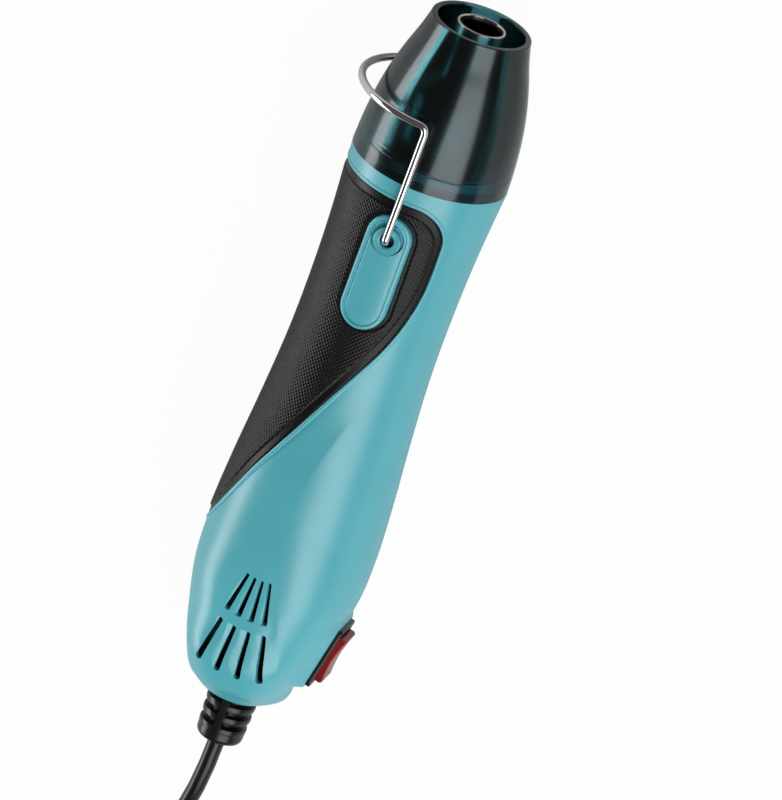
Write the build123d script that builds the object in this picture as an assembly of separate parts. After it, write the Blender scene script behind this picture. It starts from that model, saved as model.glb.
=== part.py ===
from build123d import *
import functools
import math
import os

# A small hot-air embossing tool. Lengths are in millimetres and angles in degrees.
# The tool lies on its side: +X runs along it towards the nozzle, +Y is the side of the grip,
# -Y is the side of the switch, and +Z is the side with the pivot plate on top.
# "Along" is a distance from the plane of the mouth towards the cord, on the axis of the tool.

# Shared fits
FIT = 0.1                      # gap between fixed pieces that slide into each other
RUNNING_FIT = 0.05             # radial gap of a pin that turns in its hole
OVERRUN = 60.0                 # how far a cutting solid runs past what it cuts

# Shroud
SHROUD_LENGTH = 43.0
SHROUD_MOUTH_RADIUS = 14.1
SHROUD_WALL = 1.8
SHROUD_RIM = 0.7
# (share of the length, share of the way from the mouth radius to the base radius)
SHROUD_OUTLINE_SHARES = [
    (0.30, 0.46), (0.60, 0.83), (0.88, 1.0), (1.0, 1.0),
]

# Housing
HOUSING_LENGTH = 164.5
HEEL_RADIUS = 23.5
HOUSING_WALL = 2.4
REAR_WALL = 2.4
SPIGOT_LENGTH = 4.6
COLLAR_LENGTH = 8.6
COLLAR_WALL = 1.8
# (share of the length, half width as a share of the heel radius, depth over width, squareness)
HOUSING_SHARES = [
    (0.000, 0.949, 1.000, 2.00),
    (0.061, 0.915, 1.000, 2.00),
    (0.140, 0.880, 1.000, 2.00),
    (0.240, 0.859, 1.000, 2.00),
    (0.353, 0.863, 1.000, 2.00),
    (0.492, 0.917, 1.015, 2.05),
    (0.600, 0.972, 1.045, 2.12),
    (0.708, 1.000, 1.080, 2.25),
    (0.778, 0.975, 1.130, 2.45),
    (0.851, 0.905, 1.270, 2.65),
    (0.924, 0.774, 1.560, 2.95),
    (0.961, 0.680, 1.450, 2.70),
    (0.988, 0.530, 1.300, 2.40),
    (1.000, 0.360, 1.200, 2.20),
]
SECTION_STEPS = 14

# Wire stand, one bent wire whose two ends turn in the pivot plates
WIRE_RADIUS = 1.05
WIRE_SIDES = 8
STAND_REACH = 35.9             # from the pivots to the plane of the arch
STAND_BEND = 2.4
STAND_END_BEND = 1.8
STAND_STRAIGHT = 0.6           # between each bend and the round of the arch
STAND_PIN_DEPTH = 6.6          # from the line of the leg to the tip in its bearing
LEG_GAP = 0.3

# Pivot plates
PIVOT_BACK = 17.0              # from the seam at the shroud to the pivots
PLATE_LENGTH = 34.2
PLATE_WIDTH = 12.9
PLATE_NOSE = 7.4               # from the front end of a plate to its pivot
PLATE_RISE = 1.75              # above the housing at the pivot
PLATE_EDGE = 0.7
PLATE_GROOVE_INSET = 1.2
PLATE_GROOVE = 0.35
HUB_RADIUS = 3.6
HUB_DEPTH = 5.0                # below the housing's surface
HUB_MOUTH_RADIUS = 2.0
HUB_MOUTH_DEPTH = 2.1
HUB_FLOOR = 0.9
HUB_RING_RADIUS = 3.9
HUB_RING_DEPTH = 0.35

# Rubber grip
GRIP_THICKNESS = 1.0
GRIP_START = 5.1               # behind the seam at the shroud
GRIP_REACH = 13.8              # past the axis, towards the switch
GRIP_CORNER = 9.5
GRIP_SHOULDER = 38.4
GRIP_SHOULDER_RADIUS = 68.0
GRIP_TAIL_TURN = 94.0
GRIP_TAIL_DEPTH = 13.2
GRIP_TAIL_RADIUS = 90.0
GRIP_END = 119.4

# Air vents, slots that fan out from one point
VENT_APEX = 105.2              # behind the seam at the shroud
VENT_ROWS = [(16.8, 29.4), (32.4, 47.2)]
VENT_COUNT = 4
VENT_PITCH = 7.5               # degrees
VENT_WIDTH = 3.1               # degrees
VENT_LOUVRE = 2.6              # degrees
VENT_LOUVRE_DEPTH = 0.9
VENT_ROUND_SHARE = 0.42

# Switch and its raised pad
SWITCH_BACK = 143.7            # behind the seam at the shroud
SWITCH_OUT = 20.5              # from the axis to the pad's face
SWITCH_LEAN = 11.2             # degrees
PAD_LENGTH = 24.6
PAD_WIDTH = 17.4
PAD_END_FLARE = 1.6
PAD_SIDE_FLARE = 9.6
PAD_HEIGHT = 3.8
PAD_CORNER = 3.0
BEZEL_LENGTH = 22.4
BEZEL_WIDTH = 15.0
BEZEL_THICKNESS = 1.3
BEZEL_CORNER = 1.6
SWITCH_BODY_LENGTH = 20.0
SWITCH_BODY_WIDTH = 13.0
SWITCH_BODY_DEPTH = 11.0
SWITCH_SIDE_WALL = 0.9
SWITCH_END_WALL = 0.7
SWITCH_POCKET_DEPTH = 6.0
ROCKER_PIVOT_DEPTH = 2.4
ROCKER_PIN_RADIUS = 0.8
ROCKER_LENGTH = 16.8
ROCKER_END_RISE = 2.2
ROCKER_DIP_RISE = 1.45
ROCKER_SKIRT = 3.9
ROCKER_FOOT_SHARE = 0.52
ROCKER_EDGE = 0.5
ROCKER_SIDE_GAP = 0.3
TERMINAL_WIDTH = 4.8
TERMINAL_THICKNESS = 0.8
TERMINAL_LENGTH = 6.0
TERMINAL_SPACING = 7.0

# Strain relief
RELIEF_OUTSIDE = 15.9
RELIEF_ROOT_RADIUS = 7.1
RELIEF_TIP_RADIUS = 6.5
RELIEF_TIP_ROUND = 1.6
RELIEF_NECK_RADIUS = 6.2
RELIEF_FLANGE_RADIUS = 8.2
RELIEF_FLANGE = 2.0
RELIEF_ROWS = 3
RELIEF_SLOT_WIDTH = 1.7
RELIEF_SLOT_PITCH = 3.6
RELIEF_SLOT_DEPTH = 2.2
RELIEF_SPINE = 2.2

# Cord
CORD_DIAMETER = 4.8
CORD_SIDES = 6
# The free stretch, from the strain relief down to the surface, as (back, sideways, down)
CORD_ROUTE = [
    (0.0, 0.0, 0.0), (28.0, 0.0, 0.0), (50.0, 18.0, -22.75), (70.0, 38.0, -22.75), (95.4, 38.0, -22.75),
]
COIL_TURNS = 8                 # half of them spiral in, the other half out again on top
COIL_END = 7.5                 # turns after which the cord leaves the coil
COIL_MIDDLE_RADIUS = 27.0
COIL_CLIMB = 0.5               # turns over which the cord rises to the upper layer
COIL_RAMP = 0.5                # turns over which the cord rises off the coil at its end
COIL_RAMP_SHARE = 0.7          # share of the way up to the plug that the ramp makes
COIL_POINTS = 8                # points on each turn, joined by pairs of arcs
COIL_GAP = 0.7
CORD_TAIL_RADIUS = 21.0        # last bend, over the coil to the plug

# Plug with two flat blades
PLUG_LENGTH = 24.0
PLUG_NECK_LENGTH = 12.0
PLUG_NECK_RADIUS = 3.9
PLUG_WIDTH = 22.0
PLUG_HEIGHT = 14.0
PLUG_SEAT = 0.3                # between the coil and the plug that lies on it
PLUG_CORNER = 2.6
# (share of the length, share of the width, share of the height)
PLUG_SHARES = [(0.0, 0.6, 0.70), (0.5, 0.8, 0.86), (1.0, 1.0, 1.0)]
BLADE_LENGTH = 15.9
BLADE_WIDTH = 6.35
BLADE_THICKNESS = 1.5
BLADE_SPACING = 12.7
BLADE_HOLE_RADIUS = 1.6
BLADE_HOLE_BACK = 3.6

# Hot end
TUBE_RADIUS = 6.95
TUBE_WALL = 0.8
TUBE_LENGTH = 15.5
FLARE_LENGTH = 6.0
BARREL_RADIUS = 12.7
BARREL_END = 60.0
BARREL_FLANGE_RADIUS = 14.6
BARREL_FLANGE = 0.6
SLEEVE_WALL = 0.5
SLEEVE_END_GAP = 1.0
CROSS_THICKNESS = 0.8
CROSS_FRONT = 4.0
CROSS_END_GAP = 2.0
HEATER_TURNS = 9
HEATER_PITCH = 3.1
HEATER_RADIUS = 9.2
HEATER_WIRE = 0.8
HEATER_NOTCH = 1.8
FUSE_RADIUS = 1.6
FUSE_LENGTH = 9.0
HOLDER_LIP = 1.6
HOLDER_REST = 1.2
RIB_THICKNESS = 1.5
RIB_ROOT = 0.3                 # how far ribs and posts run into the wall

# Motor and fan
MOTOR_FRONT = 127.0
MOTOR_RADIUS = 13.9
MOTOR_LENGTH = 31.0
MOTOR_WALL = 1.0
MOTOR_CAP_LENGTH = 2.6
MOTOR_BOSS_RADIUS = 5.0
MOTOR_BOSS_LENGTH = 2.0
MAGNET_THICKNESS = 2.6
MAGNET_ARC = 130.0
MAGNET_END_GAP = 3.0
ROTOR_GAP = 0.5
POLE_COUNT = 3
POLE_WIDTH = 4.2
POLE_SHOE = 2.2
POLE_SHOE_ARC = 88.0
ROTOR_CORE_RADIUS = 4.0
ROTOR_STACK_GAP = 3.5
COMMUTATOR_RADIUS = 2.8
COMMUTATOR_LENGTH = 5.0
SHAFT_RADIUS = 1.15
SHAFT_FRONT = 19.0             # ahead of the motor's front
FAN_RADIUS = 15.4
FAN_HUB_RADIUS = 4.6
FAN_LENGTH = 10.0
FAN_MOTOR_GAP = 4.6
FAN_BLADES = 7
FAN_BLADE = 1.1
FAN_PITCH = 52.0
MOUNT_THICKNESS = 2.5
MOUNT_WINDOW_IN = 10.0
MOUNT_WINDOW_OUT = 17.0
MOUNT_SPOKE = 4.0
MOUNT_SCREW_RADIUS = 1.2
MOUNT_SCREW_OUT = 7.6
MOUNT_SCREW_HEAD = 2.2
MOUNT_SCREW_HEAD_HEIGHT = 1.3
MOUNT_SCREW_LENGTH = 5.0

# Board behind the motor
BOARD_RADIUS = 13.0
BOARD_THICKNESS = 1.6
BOARD_GAP = 2.2
BOARD_HOLE_RADIUS = 3.0
DIODE_COUNT = 4
DIODE_RADIUS = 1.35
DIODE_LENGTH = 5.2
DIODE_SPACING = 3.6
DIODE_OUT = 7.4
MOTOR_TAB_WIDTH = 2.8
MOTOR_TAB_THICKNESS = 0.5
MOTOR_TAB_OUT = 9.0
LEAD_RADIUS = 0.7
LEAD_BEND = 1.3
LEAD_GAP = 0.6                 # between a lead and what it passes
LEAD_SIDE = 20.0               # degrees from the top to where the heater leads run

# Screws that hold the lower shell to the upper one, as (along, sideways) from the seam at the shroud
SCREW_PLACES = [(57.0, -13.0), (103.0, -17.4), (124.5, 17.2), (156.6, 10.2), (156.6, -10.2)]
SCREW_RADIUS = 1.25
SCREW_HOLE_GAP = 0.05
SCREW_HEAD_RADIUS = 2.1
SCREW_HEAD_HEIGHT = 1.7
SCREW_GRIP = 5.0               # boss under the head
SCREW_BITE = 8.0
BOSS_RADIUS = 2.7
BOSS_SPLIT_GAP = 0.1
COUNTERBORE_RADIUS = 2.4
COUNTERBORE_WALL = 0.9

# Cord clamp
CLAMP_BACK = 154.8
CLAMP_LENGTH = 3.6
CLAMP_WIDTH = 13.6
CLAMP_THICKNESS = 2.0
CLAMP_SCREW_OUT = 4.9
CLAMP_SCREW_RADIUS = 0.9
CLAMP_SCREW_HEAD_RADIUS = 1.6
CLAMP_SCREW_HEAD_HEIGHT = 1.1
SHEATH_END = 4.0               # how far the sheath runs past the clamp

# Places worked out from the sizes
SEAM = SHROUD_LENGTH
HOUSING_END = SHROUD_LENGTH + HOUSING_LENGTH
TOOL_LENGTH = HOUSING_END + RELIEF_OUTSIDE
JOINT_RADIUS = HEEL_RADIUS * HOUSING_SHARES[0][1]
PIVOT_ALONG = SEAM + PIVOT_BACK
CORD_RADIUS = CORD_DIAMETER / 2
TAU = 2 * math.pi


def station(along):
    """The x of a place that is this far behind the mouth."""
    return TOOL_LENGTH / 2 - along


def housing_radius(along):
    """The housing's half width at a place along the tool."""
    share = (along - SEAM) / HOUSING_LENGTH
    before = max((row for row in HOUSING_SHARES if row[0] <= share), key=lambda row: row[0])
    after = min((row for row in HOUSING_SHARES if row[0] >= share), key=lambda row: row[0])
    step = (share - before[0]) / max(after[0] - before[0], 1e-9)
    return HEEL_RADIUS * (before[1] + step * (after[1] - before[1]))


PIVOT_SURFACE = housing_radius(PIVOT_ALONG)
PLATE_TOP = PIVOT_SURFACE + PLATE_RISE
LEG_OUT = PLATE_TOP + LEG_GAP + WIRE_RADIUS
REST_DEPTH = LEG_OUT + WIRE_RADIUS
SPIGOT_RADIUS = JOINT_RADIUS - SHROUD_WALL - FIT
COLLAR_BORE = SPIGOT_RADIUS - COLLAR_WALL
HOLDER_FRONT = SEAM - SPIGOT_LENGTH + HOLDER_LIP
HOLDER_END = SEAM - SPIGOT_LENGTH + COLLAR_LENGTH + HOLDER_LIP
BARREL_BORE = BARREL_RADIUS - TUBE_WALL
FLARE_END = TUBE_LENGTH + FLARE_LENGTH
MOTOR_END = MOTOR_FRONT + MOTOR_LENGTH
MOTOR_MIDDLE = MOTOR_FRONT + MOTOR_LENGTH / 2
LEAD_OVER_MOTOR = MOTOR_RADIUS + LEAD_GAP + LEAD_RADIUS
LEAD_OVER_FAN = FAN_RADIUS + LEAD_GAP + LEAD_RADIUS
BOARD_FRONT = MOTOR_END + MOTOR_CAP_LENGTH + BOARD_GAP
FAN_BACK = MOTOR_FRONT - FAN_MOTOR_GAP
RELIEF_START = HOUSING_END - REAR_WALL - RELIEF_FLANGE
CLAMP_ALONG = SEAM + CLAMP_BACK


def along_axis(radius, start, end):
    """A round bar on the tool's axis between two places along it."""
    middle = Pos(station((start + end) / 2), 0, 0)
    return middle * Rot(0, 90, 0) * Cylinder(radius, end - start)


def slab(start, end):
    """A block that spans the tool between two places along it."""
    return Pos(station((start + end) / 2), 0, 0) * Box(end - start, OVERRUN * 2, OVERRUN * 2)


def turned(points):
    """A solid of revolution about the tool's axis, from (along, radius) points."""
    outline = Polyline([(station(a), r) for a, r in points], close=True)
    return revolve(make_face(outline), Axis.X)


def upper_half():
    """The space above the plane where the two shells meet."""
    return Pos(0, 0, OVERRUN) * Box(TOOL_LENGTH * 2, OVERRUN * 2, OVERRUN * 2)


def lower(shape):
    """The mirror image of a piece of the upper side."""
    return mirror(shape, about=Plane.XY)


def housing_section(row, inset):
    """Half of the housing's cross section, a rounded arch over a straight line."""
    share, width, depth, squareness = row
    half_width = HEEL_RADIUS * width - inset
    half_depth = HEEL_RADIUS * width * depth - inset
    x = station(SEAM + share * HOUSING_LENGTH)
    points = []
    for step in range(SECTION_STEPS + 1):
        angle = math.pi * step / SECTION_STEPS
        y = half_width * math.copysign(abs(math.cos(angle)) ** (2 / squareness), math.cos(angle))
        z = half_depth * math.sin(angle) ** (2 / squareness) if 0 < step < SECTION_STEPS else 0
        points.append((x, y, z))
    return Polyline(points, close=True).wire()


@functools.cache
def housing_form(inset):
    """The upper half of the housing's outside, drawn in by an inset, with its flat resting face."""
    sections = [housing_section(row, inset) for row in HOUSING_SHARES]
    form = Solid.make_loft(sections, ruled=True)
    top = REST_DEPTH - inset
    return form & (Pos(0, 0, top / 2) * Box(TOOL_LENGTH * 2, OVERRUN * 2, top))


def switch_plane(out):
    """The plane of the leaning pad: its x runs to the nozzle, its z points out of the tool."""
    lean = math.radians(SWITCH_LEAN)
    normal = Vector(-math.sin(lean), -math.cos(lean), 0)
    centre = Vector(station(SEAM + SWITCH_BACK), -SWITCH_OUT, 0) + normal * out
    return Plane(origin=centre, x_dir=(math.cos(lean), -math.sin(lean), 0), z_dir=normal)


def switch_pad():
    """The raised pad under the switch, which flares into the housing."""
    face = RectangleRounded(PAD_LENGTH, PAD_WIDTH, PAD_CORNER)
    foot = RectangleRounded(PAD_LENGTH + 2 * PAD_END_FLARE, PAD_WIDTH + 2 * PAD_SIDE_FLARE, PAD_CORNER)
    return loft([switch_plane(-PAD_HEIGHT) * foot, switch_plane(0) * face])


def switch_cutout():
    """The opening in the shells that the switch's body snaps into."""
    opening = Rectangle(SWITCH_BODY_LENGTH + 2 * FIT, SWITCH_BODY_WIDTH + 2 * FIT)
    return extrude(switch_plane(FIT) * opening, -SWITCH_BODY_DEPTH)


def vent_sector(inner, outer, centre, width):
    """A slot of the fan: a slice of a ring with rounded corners, in the plane of the resting face."""
    corners = []
    for radius, side in ((inner, -1), (inner, 1), (outer, 1), (outer, -1)):
        angle = math.radians(centre + side * width / 2)
        corners.append((-radius * math.cos(angle), radius * math.sin(angle)))
    outline = make_face(Polyline(corners, close=True))
    narrow = inner * math.radians(width)
    wide = outer * math.radians(width)
    ends = outline.vertices().sort_by(Axis.X)
    outline = fillet(ends[2:], narrow * VENT_ROUND_SHARE)
    ends = outline.vertices().sort_by(Axis.X)
    outline = fillet(ends[:2], wide * VENT_ROUND_SHARE)
    return Pos(station(SEAM + VENT_APEX), 0, 0) * outline


def vents():
    """Slots through the wall, each beside a shallow louvre that slopes down to it."""
    cuts = []
    for inner, outer in VENT_ROWS:
        for column in range(VENT_COUNT):
            centre = (column - (VENT_COUNT - 1) / 2) * VENT_PITCH
            slot = vent_sector(inner, outer, centre, VENT_WIDTH)
            depth = HOUSING_WALL + VENT_LOUVRE_DEPTH
            cuts.append(Pos(0, 0, REST_DEPTH - depth) * extrude(slot, depth * 2))
            louvre = vent_sector(inner, outer, centre + VENT_LOUVRE / 2, VENT_LOUVRE + VENT_WIDTH)
            cuts.append(Pos(0, 0, REST_DEPTH - VENT_LOUVRE_DEPTH) * extrude(louvre, depth))
    return cuts


def grip_outline():
    """The grip's outline seen from above, from the back of the tool round to its tail."""
    start = station(SEAM + GRIP_START)
    end = station(SEAM + GRIP_END)
    tip = housing_radius(SEAM + GRIP_END)
    points = [
        (start, OVERRUN),
        (start, -GRIP_REACH),
        (station(SEAM + GRIP_SHOULDER), -GRIP_REACH),
        (station(SEAM + GRIP_TAIL_TURN), GRIP_TAIL_DEPTH),
        (end, tip),
        (end, OVERRUN),
    ]
    radii = (GRIP_CORNER, GRIP_SHOULDER_RADIUS, GRIP_TAIL_RADIUS)
    corners = FilletPolyline(points[:5], radius=radii)
    back = Polyline([points[4], points[5], points[0]])
    return make_face(Wire([*corners.edges(), *back.edges()]))


def plate_outline(inset):
    """The pivot plate's outline, a stadium drawn in by an inset."""
    length = PLATE_LENGTH - 2 * inset
    width = PLATE_WIDTH - 2 * inset
    middle = station(PIVOT_ALONG - PLATE_NOSE + PLATE_LENGTH / 2)
    return Pos(middle, 0, 0) * SlotOverall(length, width)


def at_pivot(height, radius):
    """An upright bar on the line of the pivots, from a height above the axis upwards."""
    low = (Align.CENTER, Align.CENTER, Align.MIN)
    return Pos(station(PIVOT_ALONG), 0, height) * Cylinder(radius, OVERRUN, align=low)


def pivot_plate():
    """A plate in a window of the grip: the bearing of one end of the wire, a groove and a ring."""
    blank = extrude(plate_outline(0), OVERRUN) & along_axis(PLATE_TOP, 0, TOOL_LENGTH)
    rim = blank.edges().filter_by(lambda edge: edge.center().Z > PIVOT_SURFACE)
    plate = chamfer(rim, PLATE_EDGE) - housing_form(GRIP_THICKNESS)
    hub_base = PIVOT_SURFACE - HUB_DEPTH
    plate += at_pivot(hub_base, HUB_RADIUS) - at_pivot(PIVOT_SURFACE, HUB_RADIUS + FIT)
    groove = extrude(plate_outline(PLATE_GROOVE_INSET), OVERRUN)
    groove -= extrude(plate_outline(PLATE_GROOVE_INSET + PLATE_GROOVE), OVERRUN)
    groove -= along_axis(PLATE_TOP - PLATE_GROOVE, 0, TOOL_LENGTH)
    ring_base = PLATE_TOP - HUB_RING_DEPTH
    return plate - [
        at_pivot(hub_base + HUB_FLOOR, WIRE_RADIUS + RUNNING_FIT),
        at_pivot(PLATE_TOP - HUB_MOUTH_DEPTH, HUB_MOUTH_RADIUS),
        at_pivot(ring_base, HUB_RING_RADIUS + PLATE_GROOVE) - at_pivot(ring_base - FIT, HUB_RING_RADIUS),
        groove,
    ]


@functools.cache
def grip_layer():
    """The recess that the shell and the rubber moulded into it share."""
    layer = housing_form(0) - housing_form(GRIP_THICKNESS)
    return layer & extrude(grip_outline(), OVERRUN)


def grip_half():
    """Half of the rubber grip, with the window of its pivot plate."""
    return grip_layer() - extrude(plate_outline(-FIT), OVERRUN)


def boss(place, top, bottom, radius):
    """An upright round post at a screw."""
    along, side = place
    height = top - bottom
    return Pos(station(SEAM + along), side, bottom + height / 2) * Cylinder(radius, height)


def lead_place(side, radius):
    """Where a heater lead runs, to one side of the top and this far from the axis."""
    angle = math.radians(LEAD_SIDE)
    return side * radius * math.sin(angle), radius * math.cos(angle)


def ribs():
    """Half rings inside a shell that hold the barrel's flange and steady the motor."""
    rings = []
    for start, bore in ((HOLDER_END + BARREL_FLANGE, BARREL_RADIUS), (MOTOR_MIDDLE, MOTOR_RADIUS)):
        end = start + RIB_THICKNESS
        rings.append(slab(start, end) - along_axis(bore + FIT, start - FIT, end + FIT))
    channel = along_axis(LEAD_RADIUS + 2 * LEAD_GAP, MOTOR_MIDDLE - FIT, MOTOR_MIDDLE + RIB_THICKNESS + FIT)
    rings[1] -= [Pos(0, *lead_place(side, LEAD_OVER_MOTOR)) * channel for side in (-1, 1)]
    return rings


@functools.cache
def shell_half():
    """One moulded half of the housing, with its collar and ribs and every opening that both halves share."""
    outer = housing_form(0) + (switch_pad() & upper_half())
    inner = housing_form(HOUSING_WALL) - slab(HOUSING_END - REAR_WALL, HOUSING_END + OVERRUN)
    body = outer - inner
    filling = housing_form(HOUSING_WALL - RIB_ROOT)
    body += [ring & filling for ring in ribs()]
    collar_start = SEAM - SPIGOT_LENGTH
    collar = along_axis(SPIGOT_RADIUS, collar_start, collar_start + COLLAR_LENGTH) & upper_half()
    body += collar
    return body - [
        along_axis(COLLAR_BORE, HOLDER_FRONT, HOLDER_END),
        along_axis(COLLAR_BORE - HOLDER_REST, 0, HOLDER_END),
        grip_layer(),
        at_pivot(PIVOT_SURFACE - HUB_DEPTH, HUB_RADIUS + FIT),
        switch_cutout(),
        along_axis(RELIEF_NECK_RADIUS + FIT, HOUSING_END - REAR_WALL * 2, HOUSING_END + OVERRUN),
        *vents(),
    ]


def upper_shell():
    """The shell that shows, with blind posts for the screws."""
    filling = housing_form(HOUSING_WALL - RIB_ROOT)
    posts = [boss(place, OVERRUN, BOSS_SPLIT_GAP, BOSS_RADIUS) & filling for place in SCREW_PLACES]
    holes = [boss(place, SCREW_BITE + FIT, -FIT, SCREW_RADIUS + SCREW_HOLE_GAP) for place in SCREW_PLACES]
    return shell_half() + posts - holes


def lower_shell():
    """The shell underneath, made upside down: screw posts with counterbores and the cord's saddle."""
    filling = housing_form(HOUSING_WALL - RIB_ROOT)
    post_radius = COUNTERBORE_RADIUS + COUNTERBORE_WALL
    posts = [boss(place, OVERRUN, BOSS_SPLIT_GAP, post_radius) & filling for place in SCREW_PLACES]
    saddle = slab(CLAMP_ALONG, CLAMP_ALONG + CLAMP_LENGTH) & filling
    saddle = saddle & (Pos(0, 0, OVERRUN / 2 + FIT) * Box(TOOL_LENGTH * 2, CLAMP_WIDTH, OVERRUN))
    holes = [along_axis(CORD_RADIUS + RUNNING_FIT, CLAMP_ALONG - FIT, CLAMP_ALONG + CLAMP_LENGTH + FIT)]
    for place in SCREW_PLACES:
        holes.append(boss(place, OVERRUN, -FIT, SCREW_RADIUS + SCREW_HOLE_GAP))
        holes.append(boss(place, OVERRUN, SCREW_GRIP, COUNTERBORE_RADIUS))
    for side in (-1, 1):
        hole = Pos(station(CLAMP_ALONG + CLAMP_LENGTH / 2), side * CLAMP_SCREW_OUT, 0)
        holes.append(hole * Cylinder(CLAMP_SCREW_RADIUS + SCREW_HOLE_GAP, SCREW_GRIP * 2))
    return lower(shell_half() + [*posts, saddle] - holes)


def case_screws():
    """The screws of the two shells, each in its post with its head in the counterbore."""
    screws = []
    for place in SCREW_PLACES:
        shank = boss(place, SCREW_BITE, -SCREW_GRIP, SCREW_RADIUS)
        head = boss(place, -SCREW_GRIP, -SCREW_GRIP - SCREW_HEAD_HEIGHT, SCREW_HEAD_RADIUS)
        screws.append(shank + head)
    return screws


def nozzle_shroud():
    """The tinted shroud, a thin-walled bell with a rounded rim."""
    base = JOINT_RADIUS
    grow = base - SHROUD_MOUTH_RADIUS
    outside = [(station(0), SHROUD_MOUTH_RADIUS)]
    for share, rise in SHROUD_OUTLINE_SHARES:
        outside.append((station(share * SHROUD_LENGTH), SHROUD_MOUTH_RADIUS + rise * grow))
    inside = [(x, radius - SHROUD_WALL) for x, radius in reversed(outside)]
    bell = revolve(make_face(Polyline([*outside, *inside], close=True)), Axis.X)
    rim = bell.edges().filter_by(GeomType.CIRCLE).group_by(Axis.X)[-1]
    return chamfer(rim, SHROUD_RIM)


def heat_barrel():
    """The steel barrel: a narrow outlet tube, a flare and the chamber round the heater."""
    outside = [(0, TUBE_RADIUS), (TUBE_LENGTH, TUBE_RADIUS), (FLARE_END, BARREL_RADIUS)]
    flange = [
        (HOLDER_END, BARREL_RADIUS), (HOLDER_END, BARREL_FLANGE_RADIUS),
        (HOLDER_END + BARREL_FLANGE, BARREL_FLANGE_RADIUS), (HOLDER_END + BARREL_FLANGE, BARREL_RADIUS),
    ]
    inside = [
        (BARREL_END, BARREL_BORE), (FLARE_END + TUBE_WALL / 2, BARREL_BORE),
        (TUBE_LENGTH + TUBE_WALL / 2, TUBE_RADIUS - TUBE_WALL), (0, TUBE_RADIUS - TUBE_WALL),
    ]
    return turned([*outside, *flange, (BARREL_END, BARREL_RADIUS), *inside])


def barrel_holder():
    """The ring that carries the barrel inside the collar of the shells."""
    ring = along_axis(COLLAR_BORE - FIT, HOLDER_FRONT + FIT, HOLDER_END)
    return ring - along_axis(BARREL_RADIUS + RUNNING_FIT, 0, HOLDER_END + OVERRUN)


def mica_sleeve():
    """The thin sleeve that keeps the heater off the barrel."""
    outer = BARREL_BORE - FIT
    start, end = FLARE_END + SLEEVE_END_GAP, BARREL_END - SLEEVE_END_GAP
    tube = along_axis(outer, start, end)
    return tube - along_axis(outer - SLEEVE_WALL, start - OVERRUN, end + OVERRUN)


def mica_cross():
    """Two crossed plates with notched edges that the heater wire is wound on."""
    reach = BARREL_BORE - 2 * FIT - SLEEVE_WALL
    start, end = FLARE_END + CROSS_FRONT, BARREL_END - CROSS_END_GAP
    middle = Pos(station((start + end) / 2), 0, 0)
    plate = Box(end - start, 2 * reach, CROSS_THICKNESS)
    cross = middle * (plate + Rot(90, 0, 0) * plate)
    notch_floor = HEATER_RADIUS - CROSS_THICKNESS / 2 - HEATER_WIRE * math.sqrt(0.5) - 2 * FIT
    depth = reach - notch_floor
    block = Box(HEATER_NOTCH, depth * 2, CROSS_THICKNESS * 2)
    notches = []
    for quarter in range(4 * HEATER_TURNS + 1):
        place = Pos(heater_point(quarter).X, 0, 0) * Rot(90 * quarter, 0, 0)
        notches.append(place * Pos(0, notch_floor + depth, 0) * block)
    return cross - notches


def heater_point(quarter):
    """Where the heater wire crosses a plate's edge, counted in quarter turns from the front."""
    start = FLARE_END + CROSS_FRONT + HEATER_PITCH
    angle = math.radians(90 * quarter)
    x = station(start + HEATER_PITCH * quarter / 4)
    return Vector(x, HEATER_RADIUS * math.cos(angle), HEATER_RADIUS * math.sin(angle))


def heater_coil():
    """The heater wire, wound from notch to notch round the crossed plates."""
    points = [heater_point(quarter) for quarter in range(4 * HEATER_TURNS + 1)]
    path = Polyline(points)
    start = Plane(origin=path @ 0, z_dir=path % 0)
    return sweep(start * Rectangle(HEATER_WIRE, HEATER_WIRE), path=path.wire(), transition=Transition.RIGHT)


def thermal_fuse():
    """The fuse in the corner between the crossed plates."""
    out = CROSS_THICKNESS / 2 + FUSE_RADIUS + FIT
    start = BARREL_END - CROSS_END_GAP - FUSE_LENGTH
    return Pos(0, out, out) * along_axis(FUSE_RADIUS, start, start + FUSE_LENGTH)


def motor_mount():
    """The spoked carrier between the fan and the motor, shaped to the inside of the shells."""
    start, end = MOTOR_FRONT - MOUNT_THICKNESS, MOTOR_FRONT
    half = housing_form(HOUSING_WALL + FIT) & slab(start, end)
    plate = half + lower(half)
    window = along_axis(MOUNT_WINDOW_OUT, start - FIT, end + FIT)
    window -= along_axis(MOUNT_WINDOW_IN, start - OVERRUN, end + OVERRUN)
    window -= Box(TOOL_LENGTH * 2, MOUNT_SPOKE, OVERRUN * 2)
    window -= Box(TOOL_LENGTH * 2, OVERRUN * 2, MOUNT_SPOKE)
    screw_hole = along_axis(MOUNT_SCREW_RADIUS + SCREW_HOLE_GAP, start - FIT, end + FIT)
    return plate - [
        window,
        along_axis(MOTOR_BOSS_RADIUS + FIT, start - FIT, end + FIT),
        *[Pos(0, side * MOUNT_SCREW_OUT, 0) * screw_hole for side in (-1, 1)],
    ]


def motor_screws():
    """Two screws through the carrier into the front of the motor."""
    screws = []
    front = MOTOR_FRONT - MOUNT_THICKNESS
    for side in (-1, 1):
        shank = along_axis(MOUNT_SCREW_RADIUS, front, front + MOUNT_SCREW_LENGTH)
        head = along_axis(MOUNT_SCREW_HEAD, front - MOUNT_SCREW_HEAD_HEIGHT, front)
        screws.append(Pos(0, side * MOUNT_SCREW_OUT, 0) * (shank + head))
    return screws


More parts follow.
